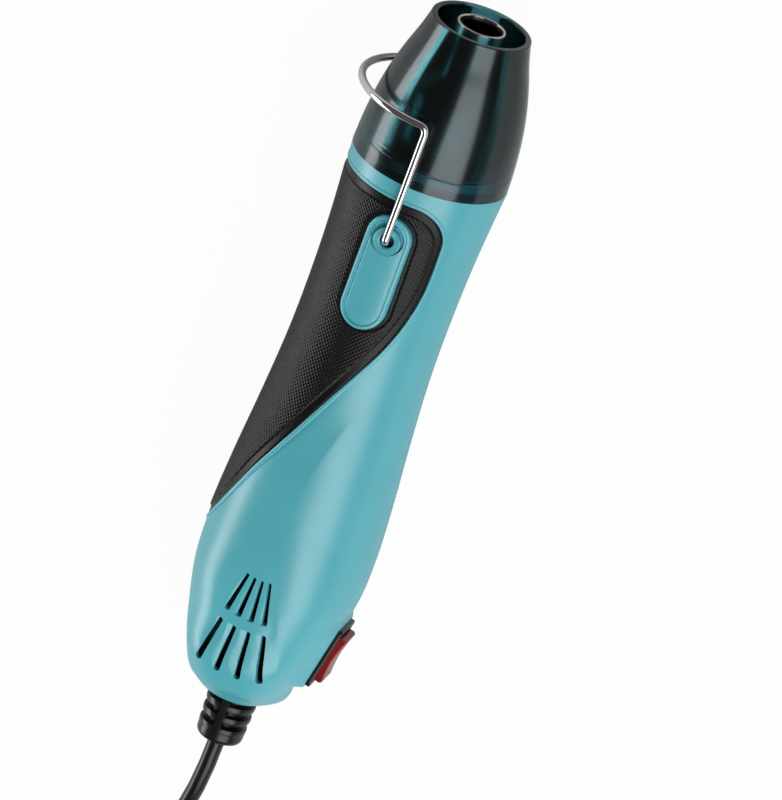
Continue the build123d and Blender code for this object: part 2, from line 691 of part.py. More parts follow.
def motor_can():
    """The deep-drawn can with its bearing boss and the holes for its screws."""
    hole = SHAFT_RADIUS + RUNNING_FIT
    boss_front = MOTOR_FRONT - MOTOR_BOSS_LENGTH
    inside_front = MOTOR_FRONT + MOTOR_WALL
    inside_radius = MOTOR_RADIUS - MOTOR_WALL
    can = turned([
        (boss_front, hole), (boss_front, MOTOR_BOSS_RADIUS), (MOTOR_FRONT, MOTOR_BOSS_RADIUS),
        (MOTOR_FRONT, MOTOR_RADIUS), (MOTOR_END, MOTOR_RADIUS), (MOTOR_END, inside_radius),
        (inside_front, inside_radius), (inside_front, hole),
    ])
    screw_hole = along_axis(MOUNT_SCREW_RADIUS + SCREW_HOLE_GAP, MOTOR_FRONT - FIT, inside_front + FIT)
    return can - [Pos(0, side * MOUNT_SCREW_OUT, 0) * screw_hole for side in (-1, 1)]


def motor_end_cap():
    """The moulded cap that closes the can and holds the rear bearing."""
    hole = SHAFT_RADIUS + RUNNING_FIT
    spigot = MOTOR_RADIUS - MOTOR_WALL - FIT
    rim = MOTOR_RADIUS - MOTOR_WALL / 2
    cap_end = MOTOR_END + MOTOR_CAP_LENGTH
    return turned([
        (MOTOR_END - MOTOR_WALL, hole), (MOTOR_END - MOTOR_WALL, spigot), (MOTOR_END, spigot),
        (MOTOR_END, rim), (cap_end, rim), (cap_end, hole),
    ])


def ring_sector(outer, inner, start, end, arc):
    """A slice of a ring on the tool's axis, centred on the side of the grip."""
    section = make_face(Polyline([
        (station(start), inner), (station(start), outer), (station(end), outer), (station(end), inner),
    ], close=True))
    return Rot(-arc / 2, 0, 0) * revolve(section, Axis.X, revolution_arc=arc)


def motor_magnets():
    """Two curved magnets against the can's wall."""
    outer = MOTOR_RADIUS - MOTOR_WALL
    start, end = MOTOR_FRONT + MAGNET_END_GAP, MOTOR_END - MAGNET_END_GAP
    magnet = ring_sector(outer, outer - MAGNET_THICKNESS, start, end, MAGNET_ARC)
    return [magnet, Rot(180, 0, 0) * magnet]


def motor_armature():
    """The wound core of the motor: poles with curved shoes, and the commutator behind them."""
    outer = MOTOR_RADIUS - MOTOR_WALL - MAGNET_THICKNESS - ROTOR_GAP
    start, end = MOTOR_FRONT + ROTOR_STACK_GAP * 2, MOTOR_END - ROTOR_STACK_GAP * 2
    core = along_axis(ROTOR_CORE_RADIUS, start, end)
    for pole in range(POLE_COUNT):
        turn = Rot(360 * pole / POLE_COUNT, 0, 0)
        length = outer - POLE_SHOE / 2
        web = Pos(station((start + end) / 2), length / 2, 0) * Box(end - start, length, POLE_WIDTH)
        core += turn * web
        core += turn * ring_sector(outer, outer - POLE_SHOE, start, end, POLE_SHOE_ARC)
    core += along_axis(COMMUTATOR_RADIUS, end, end + COMMUTATOR_LENGTH)
    return core - along_axis(SHAFT_RADIUS, start - OVERRUN, end + OVERRUN)


def motor_shaft():
    """The shaft through the fan, the armature and both bearings."""
    return along_axis(SHAFT_RADIUS, MOTOR_FRONT - SHAFT_FRONT, MOTOR_END + MOTOR_CAP_LENGTH)


def fan_impeller():
    """The axial fan: a hub with slanting blades."""
    front = FAN_BACK - FAN_LENGTH
    hub = along_axis(FAN_HUB_RADIUS, front, FAN_BACK)
    hub = chamfer(hub.edges().filter_by(GeomType.CIRCLE).group_by(Axis.X)[-1], FAN_HUB_RADIUS / 2)
    place = Pos(station((front + FAN_BACK) / 2), FAN_RADIUS / 2, 0) * Rot(0, FAN_PITCH, 0)
    blade = place * Box(FAN_LENGTH * 2, FAN_RADIUS, FAN_BLADE) & along_axis(FAN_RADIUS, front, FAN_BACK)
    for number in range(FAN_BLADES):
        hub += Rot(360 * number / FAN_BLADES, 0, 0) * blade
    return hub - along_axis(SHAFT_RADIUS, front - OVERRUN, FAN_BACK + OVERRUN)


def rectifier_board():
    """The round board behind the motor."""
    board = along_axis(BOARD_RADIUS, BOARD_FRONT, BOARD_FRONT + BOARD_THICKNESS)
    return board - along_axis(BOARD_HOLE_RADIUS, BOARD_FRONT - FIT, BOARD_FRONT + BOARD_THICKNESS + FIT)


def rectifier_diodes():
    """The four diodes of the rectifier, side by side on the board."""
    diodes = []
    for number in range(DIODE_COUNT):
        y = (number - (DIODE_COUNT - 1) / 2) * DIODE_SPACING
        x = station(BOARD_FRONT + BOARD_THICKNESS + FIT + DIODE_RADIUS)
        diodes.append(Pos(x, y, DIODE_OUT) * Cylinder(DIODE_RADIUS, DIODE_LENGTH))
    return diodes


def motor_tabs():
    """The motor's two terminals, soldered to the board."""
    tabs = []
    start, end = MOTOR_END + MOTOR_CAP_LENGTH, BOARD_FRONT
    for side in (-1, 1):
        place = Pos(station((start + end) / 2), 0, side * MOTOR_TAB_OUT)
        tabs.append(place * Box(end - start, MOTOR_TAB_WIDTH, MOTOR_TAB_THICKNESS))
    return tabs


def lead(points):
    """One insulated wire along a route of (along, sideways, up) points."""
    places = [(station(a), y, z) for a, y, z in points]
    path = FilletPolyline(places, radius=LEAD_BEND)
    start = Plane(origin=path @ 0, z_dir=path % 0)
    return sweep(start * RegularPolygon(LEAD_RADIUS, CORD_SIDES), path=path.wire())


def heater_leads():
    """Two wires from the board past the motor and the fan to the heater."""
    leads = []
    board_back = BOARD_FRONT + BOARD_THICKNESS
    board_hole = BOARD_RADIUS - LEAD_BEND
    heater_end = heater_point(4 * HEATER_TURNS).X
    for side in (-1, 1):
        def at(along, radius):
            return (along, *lead_place(side, radius))
        last = TOOL_LENGTH / 2 - heater_end + HEATER_WIRE
        leads.append(lead([
            at(board_back, board_hole),
            at(board_back + LEAD_BEND * 2.5, board_hole),
            at(board_back + LEAD_BEND * 2.5, LEAD_OVER_MOTOR),
            at(MOTOR_FRONT - MOUNT_THICKNESS, LEAD_OVER_MOTOR),
            at(FAN_BACK, LEAD_OVER_FAN),
            at(FAN_BACK - FAN_LENGTH - LEAD_GAP, LEAD_OVER_FAN),
            at(BARREL_END + FAN_LENGTH, HEATER_RADIUS),
            at(last, HEATER_RADIUS),
        ]))
    return leads


def switch_body():
    """The switch's housing: a bezel on the pad, a body in the shells and the pocket of the rocker."""
    face = switch_plane(0)
    body = extrude(face * RectangleRounded(BEZEL_LENGTH, BEZEL_WIDTH, BEZEL_CORNER), BEZEL_THICKNESS)
    body += extrude(face * Rectangle(SWITCH_BODY_LENGTH, SWITCH_BODY_WIDTH), -SWITCH_BODY_DEPTH)
    length = SWITCH_BODY_LENGTH - 2 * SWITCH_END_WALL
    width = SWITCH_BODY_WIDTH - 2 * SWITCH_SIDE_WALL
    body -= extrude(switch_plane(BEZEL_THICKNESS + FIT) * Rectangle(length, width), -SWITCH_POCKET_DEPTH)
    pivot = rocker_pivot() * Cylinder(ROCKER_PIN_RADIUS + RUNNING_FIT, SWITCH_BODY_WIDTH - SWITCH_SIDE_WALL)
    return body - pivot


def rocker_pivot():
    """The place of the rocker's pins, which lie across the tool."""
    return Pos(switch_plane(BEZEL_THICKNESS - ROCKER_PIVOT_DEPTH).origin)


def rocker():
    """The rocker, a shallow V on two short pins."""
    half = ROCKER_LENGTH / 2
    foot = half * ROCKER_FOOT_SHARE
    waist = half - ROCKER_EDGE
    outline = Polyline([
        (-half, ROCKER_END_RISE), (0, ROCKER_DIP_RISE), (half, ROCKER_END_RISE),
        (waist, -ROCKER_EDGE), (foot, -ROCKER_SKIRT), (-foot, -ROCKER_SKIRT), (-waist, -ROCKER_EDGE),
    ], close=True)
    width = SWITCH_BODY_WIDTH - 2 * SWITCH_SIDE_WALL - 2 * ROCKER_SIDE_GAP
    top = switch_plane(BEZEL_THICKNESS)
    side = Plane(origin=top.origin, x_dir=top.x_dir, z_dir=(0, 0, -1))
    body = extrude(side * make_face(outline), width / 2, both=True)
    rims = body.edges().filter_by(Axis.Z)
    rims = rims.filter_by(lambda edge: top.to_local_coords(edge.center()).Z > ROCKER_DIP_RISE + FIT)
    body = fillet(rims, ROCKER_EDGE)
    pins = rocker_pivot() * Cylinder(ROCKER_PIN_RADIUS, width + 2 * ROCKER_SIDE_GAP + SWITCH_SIDE_WALL / 2)
    return body + pins


def switch_terminals():
    """The two flat terminals under the switch."""
    tabs = []
    for side in (-1, 1):
        place = switch_plane(-SWITCH_BODY_DEPTH) * Pos(side * TERMINAL_SPACING / 2, 0, -TERMINAL_LENGTH / 2)
        tabs.append(place * Box(TERMINAL_THICKNESS, TERMINAL_WIDTH, TERMINAL_LENGTH))
    return tabs


def strain_relief():
    """The rubber boot of the cord, slotted in rows on each side of a spine."""
    flange_end = RELIEF_START + RELIEF_FLANGE
    boot = turned([
        (RELIEF_START, 0), (RELIEF_START, RELIEF_FLANGE_RADIUS), (flange_end, RELIEF_FLANGE_RADIUS),
        (flange_end, RELIEF_NECK_RADIUS), (HOUSING_END, RELIEF_NECK_RADIUS),
        (HOUSING_END, RELIEF_ROOT_RADIUS), (TOOL_LENGTH, RELIEF_TIP_RADIUS), (TOOL_LENGTH, 0),
    ])
    tip = boot.edges().filter_by(GeomType.CIRCLE).group_by(Axis.X)[0]
    boot = chamfer(tip, RELIEF_TIP_ROUND)
    boot -= along_axis(CORD_RADIUS + RUNNING_FIT, RELIEF_START - OVERRUN, TOOL_LENGTH + OVERRUN)
    for row in range(RELIEF_ROWS):
        start = HOUSING_END + RELIEF_SLOT_WIDTH + row * RELIEF_SLOT_PITCH
        end = start + RELIEF_SLOT_WIDTH
        ring = along_axis(RELIEF_FLANGE_RADIUS, start, end)
        ring -= along_axis(RELIEF_ROOT_RADIUS - RELIEF_SLOT_DEPTH, start - FIT, end + FIT)
        boot -= ring - Box(TOOL_LENGTH * 2, RELIEF_SPINE, OVERRUN)
    return boot


def cord_sheath():
    """The end of the cord inside the boot and the clamp."""
    return along_axis(CORD_RADIUS, CLAMP_ALONG - SHEATH_END, TOOL_LENGTH)


def cord_clamp():
    """The bar that presses the cord's sheath into its saddle."""
    top = CORD_RADIUS + CLAMP_THICKNESS
    middle = Pos(station(CLAMP_ALONG + CLAMP_LENGTH / 2), 0, top / 2 + FIT / 2)
    bar = middle * Box(CLAMP_LENGTH, CLAMP_WIDTH, top - FIT)
    bar -= along_axis(CORD_RADIUS + RUNNING_FIT, CLAMP_ALONG - FIT, CLAMP_ALONG + CLAMP_LENGTH + FIT)
    for side in (-1, 1):
        hole = Pos(station(CLAMP_ALONG + CLAMP_LENGTH / 2), side * CLAMP_SCREW_OUT, 0)
        bar -= hole * Cylinder(CLAMP_SCREW_RADIUS + SCREW_HOLE_GAP, OVERRUN)
    return bar


def clamp_screws():
    """The two screws of the cord clamp."""
    screws = []
    top = CORD_RADIUS + CLAMP_THICKNESS
    low = (Align.CENTER, Align.CENTER, Align.MIN)
    for side in (-1, 1):
        place = Pos(station(CLAMP_ALONG + CLAMP_LENGTH / 2), side * CLAMP_SCREW_OUT, 0)
        shank = Pos(0, 0, FIT - SCREW_GRIP) * Cylinder(CLAMP_SCREW_RADIUS, top + SCREW_GRIP - FIT, align=low)
        head = Pos(0, 0, top) * Cylinder(CLAMP_SCREW_HEAD_RADIUS, CLAMP_SCREW_HEAD_HEIGHT, align=low)
        screws.append(place * (shank + head))
    return screws


def supply_leads():
    """Wires from the cord's end to the switch, on from the switch to the board, and straight to the board."""
    sheath_tip = CLAMP_ALONG - SHEATH_END
    board_back = BOARD_FRONT + BOARD_THICKNESS
    out = CORD_RADIUS - LEAD_RADIUS
    bend = LEAD_BEND * 2
    plane = switch_plane(-SWITCH_BODY_DEPTH - TERMINAL_LENGTH)
    leads = []
    for side in (-1, 1):
        tab = plane.origin + plane.x_dir * (side * TERMINAL_SPACING / 2)
        along = TOOL_LENGTH / 2 - tab.X
        if side < 0:
            start, turn = (sheath_tip, -out, 0), (sheath_tip - bend, -out, 0)
        else:
            start, turn = (board_back, -bend * 2, 0), (board_back + bend, -bend * 2, 0)
        leads.append(lead([start, turn, (along, tab.Y + bend, 0), (along, tab.Y + 2 * FIT, 0)]))
    board_point = BOARD_RADIUS / 2
    leads.append(lead([
        (sheath_tip, out, 0), (sheath_tip - bend, out, 0),
        (board_back + bend * 2, board_point, 0), (board_back, board_point, 0),
    ]))
    return leads


def wire_stand():
    """The wire stand: two legs with turned-in ends, joined by a half-round arch behind the grip."""
    pivot = station(PIVOT_ALONG)
    arch = pivot + STAND_REACH
    side = STAND_BEND + STAND_STRAIGHT
    leg_start = pivot + STAND_END_BEND
    leg_end = arch - STAND_BEND
    shoulder = LEG_OUT - STAND_END_BEND
    edges = [
        Line((pivot, 0, LEG_OUT - STAND_PIN_DEPTH), (pivot, 0, shoulder)),
        TangentArc((pivot, 0, shoulder), (leg_start, 0, LEG_OUT), tangent=(0, 0, 1)),
        Line((leg_start, 0, LEG_OUT), (leg_end, 0, LEG_OUT)),
        TangentArc((leg_end, 0, LEG_OUT), (arch, STAND_BEND, LEG_OUT), tangent=(1, 0, 0)),
        Line((arch, STAND_BEND, LEG_OUT), (arch, side, LEG_OUT)),
        TangentArc((arch, side, LEG_OUT), (arch, side + LEG_OUT, 0), tangent=(0, 1, 0)),
    ]
    half = Wire([edge.edge() for edge in edges])
    start = Plane(origin=(pivot, 0, LEG_OUT - STAND_PIN_DEPTH), z_dir=(0, 0, 1))
    leg = sweep(start * RegularPolygon(WIRE_RADIUS, WIRE_SIDES), path=half)
    return leg + lower(leg)


def biarc(start, start_way, end, end_way):
    """Two tangent arcs that join two points and directions."""
    span = end - start
    ways = start_way + end_way
    slack = 2 * (1 - start_way.dot(end_way))
    pull = span.dot(ways)
    reach = (math.sqrt(pull ** 2 + slack * span.dot(span)) - pull) / slack
    middle = (start + start_way * reach + end - end_way * reach) * 0.5
    first = Edge.make_tangent_arc(start, start_way, middle)
    return [first, Edge.make_tangent_arc(middle, first % 1, end)]


def coil_reach():
    """The radius of the coil's outermost turn, from the middle radius of its turns."""
    return COIL_MIDDLE_RADIUS + (CORD_DIAMETER + COIL_GAP) * COIL_TURNS / 4


def plug_level():
    """The height of the plug's middle, when it lies on the coil."""
    return 2 * CORD_DIAMETER + COIL_GAP + PLUG_SEAT + PLUG_HEIGHT / 2


def coil_point(turns, centre):
    """A point of the coil, which spirals in on the lower layer and out again on the upper one."""
    step = CORD_DIAMETER + COIL_GAP
    radius = coil_reach() - step * min(turns, COIL_TURNS - turns)
    climb = min(max((turns - COIL_TURNS / 2) / COIL_CLIMB + 0.5, 0), 1)
    height = CORD_RADIUS + step * (1 - math.cos(math.pi * climb)) / 2
    ramp = max((turns - COIL_END + COIL_RAMP) / COIL_RAMP, 0)
    rise = COIL_RAMP_SHARE * (plug_level() - CORD_RADIUS - step)
    height += rise * (1 - math.cos(math.pi * ramp)) / 2
    angle = math.pi / 2 + TAU * turns
    return centre + Vector(radius * math.cos(angle), radius * math.sin(angle), height)


def cord_section(path):
    """The faceted section of the cord at the start of a path."""
    way = path % 0
    start = Plane(origin=path @ 0, x_dir=Vector(0, 0, 1).cross(way), z_dir=way)
    return start * RegularPolygon(CORD_RADIUS, CORD_SIDES)


def cord_route(exit_point):
    """The points of the free stretch of the cord."""
    return [exit_point + Vector(-back, side, down) for back, side, down in CORD_ROUTE]


def report_cord(name, path, solid):
    """Prints the length of a tube and compares its volume with its section times its length."""
    section = solid.volume / path.length
    ideal = RegularPolygon(CORD_RADIUS, CORD_SIDES).area
    print(f"{name}: length {path.length:.1f}, section {section:.3f} against {ideal:.3f}")


def power_cord(exit_point):
    """The free stretch, straight out of the boot and then down to the surface."""
    points = cord_route(exit_point)
    radii = []
    for before, point, after in zip(points, points[1:], points[2:]):
        turn = math.radians((point - before).get_angle(after - point))
        run = min((point - before).length, (after - point).length)
        radii.append(0.45 * run / math.tan(turn / 2))
    print("cord bend radii:", [round(radius, 1) for radius in radii])
    path = FilletPolyline(points, radius=tuple(radii))
    solid = sweep(cord_section(path), path=path.wire())
    report_cord("free stretch", path, solid)
    return solid


def coil_path(exit_point):
    """The wound-up length of the cord as one line of tangent arcs."""
    points = cord_route(exit_point)
    way = (points[-1] - points[-2]).normalized()
    centre = points[-1] - Vector(0, coil_reach(), CORD_RADIUS)
    small = 1e-4
    places = []
    ways = []
    for number in range(round(COIL_POINTS * COIL_END) + 1):
        turns = number / COIL_POINTS
        places.append(coil_point(turns, centre))
        ways.append((coil_point(turns + small, centre) - coil_point(turns - small, centre)).normalized())
    ways[0] = way
    edges = []
    for start, start_way, end, end_way in zip(places, ways, places[1:], ways[1:]):
        edges += biarc(start, start_way, end, end_way)
    tail = places[-1] + Vector(CORD_TAIL_RADIUS, CORD_TAIL_RADIUS, 0)
    edges += biarc(places[-1], ways[-1], Vector(tail.X, tail.Y, centre.Z + plug_level()), Vector(0, 1, 0))
    return Wire(edges)


def cord_coil(path):
    """The wound coil of the cord."""
    solid = sweep(cord_section(path), path=path)
    report_cord("coil", path, solid)
    count = 40 * COIL_TURNS
    steps = [path.length * number / count for number in range(count + 1)]
    samples = [path.position_at(step, position_mode=PositionMode.LENGTH) for step in steps]
    neighbours = count // COIL_TURNS // 3
    gap = min(
        (samples[one] - samples[two]).length
        for one in range(count + 1)
        for two in range(one + neighbours, count + 1)
    )
    print(f"least gap of the coil to itself: {gap - CORD_DIAMETER:.2f}")
    return solid


def plug_place(path):
    """The plane at the cord's far end, facing the way the plug points."""
    return Plane(origin=path @ 1, x_dir=Vector(0, 0, 1).cross(path % 1), z_dir=path % 1)


def plug_body(place):
    """The moulded plug: a tapered neck and a flattened grip."""
    neck = extrude(place * Circle(PLUG_NECK_RADIUS), PLUG_NECK_LENGTH)
    sections = []
    for along, width, depth in PLUG_SHARES:
        plane = place.offset(PLUG_NECK_LENGTH + along * PLUG_LENGTH)
        outline = Rectangle(PLUG_WIDTH * width, PLUG_HEIGHT * depth)
        sections.append(plane * chamfer(outline.vertices(), PLUG_CORNER))
    return neck + loft(sections, ruled=True)


def plug_blades(place):
    """The two flat blades with their holes."""
    blades = []
    root = place.offset(PLUG_NECK_LENGTH + PLUG_LENGTH)
    for side in (-1, 1):
        centre = Pos(side * BLADE_SPACING / 2, 0, BLADE_LENGTH / 2)
        hole_place = Pos(0, 0, BLADE_LENGTH / 2 - BLADE_HOLE_BACK) * Rot(0, 90, 0)
        blade = Box(BLADE_THICKNESS, BLADE_WIDTH, BLADE_LENGTH)
        blade -= hole_place * Cylinder(BLADE_HOLE_RADIUS, BLADE_WIDTH)
        blades.append(root * centre * blade)
    return blades


def housing_pieces():
    """Every piece of the tool itself, in its own named node."""
    grip = grip_half()
    plate = pivot_plate()
    return {
        "upper_shell": upper_shell(),
        "lower_shell": lower_shell(),
        "grip_upper": grip,
        "grip_lower": lower(grip),
        "pivot_plate_upper": plate,
        "pivot_plate_lower": lower(plate),
        "case_screws": case_screws(),
        "nozzle_shroud": nozzle_shroud(),
        "heat_barrel": heat_barrel(),
        "barrel_holder": barrel_holder(),
        "mica_sleeve": mica_sleeve(),
        "mica_cross": mica_cross(),
        "heater_coil": heater_coil(),
        "thermal_fuse": thermal_fuse(),
        "motor_mount": motor_mount(),
        "motor_screws": motor_screws(),
        "motor_can": motor_can(),
        "motor_end_cap": motor_end_cap(),
        "motor_magnets": motor_magnets(),
        "motor_armature": motor_armature(),
        "motor_shaft": motor_shaft(),
        "fan_impeller": fan_impeller(),
        "rectifier_board": rectifier_board(),
        "rectifier_diodes": rectifier_diodes(),
        "motor_tabs": motor_tabs(),
        "heater_leads": heater_leads(),
        "supply_leads": supply_leads(),
        "switch_body": switch_body(),
        "switch_terminals": switch_terminals(),
        "rocker": rocker(),
        "strain_relief": strain_relief(),
        "cord_sheath": cord_sheath(),
        "cord_clamp": cord_clamp(),
        "clamp_screws": clamp_screws(),
        "wire_stand": wire_stand(),
    }


def cord_pieces(exit_point):
    """The cord outside the tool, its coil and its plug."""
    path = coil_path(exit_point)
    place = plug_place(path)
    return {
        "power_cord": power_cord(exit_point),
        "cord_coil": cord_coil(path),
        "plug_body": plug_body(place),
        "plug_blades": plug_blades(place),
    }


def solids_of(shape):
    """The solids of a piece, or of a list of pieces."""
    if isinstance(shape, list):
        return [solid for piece in shape for solid in piece.solids()]
    return list(shape.solids())


def main():
    """Builds the tool, sets it on the surface under the middle of its box, and writes each node."""
    os.makedirs("parts", exist_ok=True)
    pieces = {name: solids_of(shape) for name, shape in housing_pieces().items()}
    boxes = [solid.bounding_box() for solids in pieces.values() for solid in solids]
    middle_x = (min(box.min.X for box in boxes) + max(box.max.X for box in boxes)) / 2
    middle_y = (min(box.min.Y for box in boxes) + max(box.max.Y for box in boxes)) / 2
    place = Pos(-middle_x, -middle_y, REST_DEPTH)
    placed = {name: [place * solid for solid in solids] for name, solids in pieces.items()}
    exit_point = Vector(station(TOOL_LENGTH) - middle_x, -middle_y, REST_DEPTH)
    placed.update({name: solids_of(shape) for name, shape in cord_pieces(exit_point).items()})
    for name, solids in placed.items():
        shape = solids[0] if len(solids) == 1 else Compound(children=solids)
        export_step(shape, f"parts/{name}.step")
    print(f"axis {REST_DEPTH:.2f} above the surface and {-middle_y:.2f} beside the origin")


main()
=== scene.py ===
import bmesh
import bpy
import math
import numpy as np
from mathutils import Matrix, Vector

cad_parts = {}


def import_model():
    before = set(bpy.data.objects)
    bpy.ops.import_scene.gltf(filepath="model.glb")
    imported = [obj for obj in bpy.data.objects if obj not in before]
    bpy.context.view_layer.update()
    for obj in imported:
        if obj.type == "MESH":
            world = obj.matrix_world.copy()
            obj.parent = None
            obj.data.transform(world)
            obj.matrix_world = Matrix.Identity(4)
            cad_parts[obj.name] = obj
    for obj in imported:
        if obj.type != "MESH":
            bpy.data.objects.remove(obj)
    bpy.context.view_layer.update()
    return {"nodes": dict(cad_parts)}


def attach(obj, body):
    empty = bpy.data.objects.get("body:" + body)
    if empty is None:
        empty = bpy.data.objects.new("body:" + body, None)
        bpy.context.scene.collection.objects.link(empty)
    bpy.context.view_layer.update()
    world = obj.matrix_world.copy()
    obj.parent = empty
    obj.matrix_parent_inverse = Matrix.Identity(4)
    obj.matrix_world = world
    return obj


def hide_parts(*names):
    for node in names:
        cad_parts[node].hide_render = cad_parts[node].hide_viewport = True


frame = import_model()

# The tool's own frame, in millimetres: "along" runs back from the mouth, y to the grip's side
# and z up from the axis.
MM = 0.001
WELD = 1e-7    # metres within which points are joined
AXIS_Y, AXIS_Z = -1.406, 25.212    # the axis in the shared frame
NOSE = 111.7    # the mouth's x in the shared frame
SEAM, HOUSING = 43.0, 164.5    # where the housing starts, and its length
HEEL = 23.5    # half of the housing's greatest width
REST = 25.21    # from the axis to the face that the tool lies on
FLAT, FLAT_BLEND = REST - 0.02, 1.6    # the flat of the upper and lower face, and its soft start
WALL = 2.4    # thickness of the shells
GRIP_START, GRIP_END = SEAM + 5.1, SEAM + 119.4
GRIP_RECESS = 1.0    # how deep the shells are sunk under the grip
STUD_PITCH = 1.36
PIVOT = 60.0    # the stand's pivot
PLATE_TOP = 22.75    # from the axis to the pivot plate's face
PLATE_HALF = 6.45    # half of the plate's width, and the radius of its ends
PLATE_ENDS = (PIVOT - 7.4 + PLATE_HALF, PIVOT - 7.4 + 34.2 - PLATE_HALF)    # centres of both ends
CORD_SIZE, CORD_GAP = 4.8, 0.7    # the cord's diameter, and the gap between its turns
# share of the housing's length, half width as a share of HEEL, depth as a share of the half width,
# and squareness of the section
SHARES = [
    (0.000, 0.949, 1.000, 2.00), (0.061, 0.915, 1.000, 2.00), (0.140, 0.880, 1.000, 2.00),
    (0.240, 0.859, 1.000, 2.00), (0.353, 0.863, 1.000, 2.00), (0.492, 0.917, 1.015, 2.05),
    (0.600, 0.972, 1.045, 2.12), (0.708, 1.000, 1.080, 2.25), (0.778, 0.975, 1.130, 2.45),
    (0.851, 0.878, 1.235, 2.40), (0.924, 0.690, 1.500, 2.90), (0.961, 0.615, 1.420, 2.55),
    (0.988, 0.560, 1.080, 2.00), (1.000, 0.400, 1.230, 2.30),
]


def world(points):
    """Metres in the shared frame from rows of (along, y, z) in millimetres."""
    p = np.asarray(points, dtype=float)
    return np.stack([NOSE - p[..., 0], p[..., 1] + AXIS_Y, p[..., 2] + AXIS_Z], axis=-1) * MM


def step(edge0, edge1, x):
    t = np.clip((np.asarray(x, dtype=float) - edge0) / (edge1 - edge0), 0, 1)
    return t * t * (3 - 2 * t)


def curve_through(table, x):
    """A smooth curve through the rows of a table, for each column after the first."""
    t = np.array(table, dtype=float)
    xs, ys = t[:, 0], t[:, 1:]
    slopes = np.gradient(ys, xs, axis=0)
    i = np.clip(np.searchsorted(xs, x, side="right") - 1, 0, len(xs) - 2)
    h = xs[i + 1] - xs[i]
    s = ((x - xs[i]) / h)[..., None]
    h = h[..., None]
    return ((2 * s**3 - 3 * s**2 + 1) * ys[i] + (s**3 - 2 * s**2 + s) * h * slopes[i]
            + (-2 * s**3 + 3 * s**2) * ys[i + 1] + (s**3 - s**2) * h * slopes[i + 1])


def soft_min(a, b, k):
    h = np.clip(0.5 + 0.5 * (b - a) / k, 0, 1)
    return b * (1 - h) + a * h - k * h * (1 - h)


# -------- materials

def set_values(node, values):
    """Sets a node's sockets by their names, with _ for each space."""
    for key, value in values.items():
        node.inputs[key.replace("_", " ")].default_value = value


def add_node(m, kind, **values):
    node = m.node_tree.nodes.new("ShaderNode" + kind)
    set_values(node, values)
    return node


def noise(m, scale, detail):
    """A noise texture in the piece's own coordinates."""
    tex = add_node(m, "TexNoise", Scale=scale, Detail=detail)
    m.node_tree.links.new(add_node(m, "TexCoord").outputs["Object"], tex.inputs["Vector"])
    return tex.outputs["Fac"]


def ramp(m, fac, dark, light):
    """A colour ramp between two colours, driven by a factor."""
    r = add_node(m, "ValToRGB")
    for element, colour in zip(r.color_ramp.elements, (dark, light)):
        element.color = (*colour, 1)
    m.node_tree.links.new(fac, r.inputs["Fac"])
    return r


def finish_of(name, dark, light, rough, metal=0.0, grain=900, scale=60, height=0.02, **more):
    """A material with mottled colour, uneven gloss and a fine grain."""
    m = bpy.data.materials.new(name)
    m.use_nodes = True
    shader, links = m.node_tree.nodes["Principled BSDF"], m.node_tree.links
    set_values(shader, {"Base Color": (*light, 1), "Roughness": rough, "Metallic": metal, **more})
    colour = ramp(m, noise(m, scale, 4.0), dark, light)
    colour.color_ramp.elements[0].position, colour.color_ramp.elements[1].position = 0.3, 0.7
    links.new(colour.outputs["Color"], shader.inputs["Base Color"])
    gloss = add_node(m, "MapRange", To_Min=rough - 0.05, To_Max=rough + 0.05)
    links.new(noise(m, scale * 2.3, 4.0), gloss.inputs["Value"])
    links.new(gloss.outputs["Result"], shader.inputs["Roughness"])
    bump = add_node(m, "Bump", Strength=1.0, Distance=height * MM)
    links.new(noise(m, grain, 2.0), bump.inputs["Height"])
    links.new(bump.outputs["Normal"], shader.inputs["Normal"])
    return m


TEAL = finish_of("teal", (0.092, 0.485, 0.560), (0.102, 0.510, 0.590), 0.36, grain=2600, height=0.006,
                 Specular_IOR_Level=0.9)
RUBBER = finish_of("rubber", (0.0030, 0.0030, 0.0033), (0.0050, 0.0050, 0.0054), 0.38, grain=1800, height=0.012,
                   Specular_IOR_Level=0.28)
BLACK = finish_of("black_plastic", (0.004, 0.004, 0.0045), (0.007, 0.007, 0.0075), 0.28, grain=1500, height=0.006)
CORD = finish_of("cord_black", (0.004, 0.004, 0.0045), (0.007, 0.007, 0.0075), 0.28, grain=1400, height=0.006)
RED = finish_of("red", (0.24, 0.006, 0.009), (0.30, 0.010, 0.013), 0.30, grain=500, height=0.002)
CHROME = finish_of("chrome", (0.74, 0.74, 0.75), (0.84, 0.84, 0.85), 0.09, 1.0, grain=300, height=0.0003)
STEEL = finish_of("barrel_steel", (0.52, 0.51, 0.50), (0.66, 0.65, 0.63), 0.24, 1.0, grain=700, height=0.006)
MACHINE = finish_of("machine_steel", (0.42, 0.42, 0.43), (0.56, 0.56, 0.57), 0.33, 1.0)
MAGNET = finish_of("magnet", (0.02, 0.02, 0.022), (0.05, 0.05, 0.052), 0.6, 0.3)
ARMATURE = finish_of("armature", (0.22, 0.12, 0.07), (0.38, 0.25, 0.16), 0.4, 0.8)
MICA = finish_of("mica", (0.50, 0.43, 0.30), (0.68, 0.62, 0.48), 0.45, scale=160)
HEATER = finish_of("heater_wire", (0.18, 0.16, 0.15), (0.34, 0.31, 0.28), 0.4, 0.9)
FUSE = finish_of("fuse", (0.60, 0.60, 0.61), (0.74, 0.74, 0.75), 0.3, 1.0)
# near-black and very matte: the painted shade of the sheet behind the vents, and the dark lining in the barrel's
# mouth
NEAR_BLACK = finish_of("near_black_matte", (0.0015, 0.0015, 0.0015), (0.0025, 0.0025, 0.0025), 0.8,
                 Specular_IOR_Level=0.1)
HOLDER = finish_of("holder", (0.018, 0.016, 0.015), (0.035, 0.032, 0.030), 0.6)
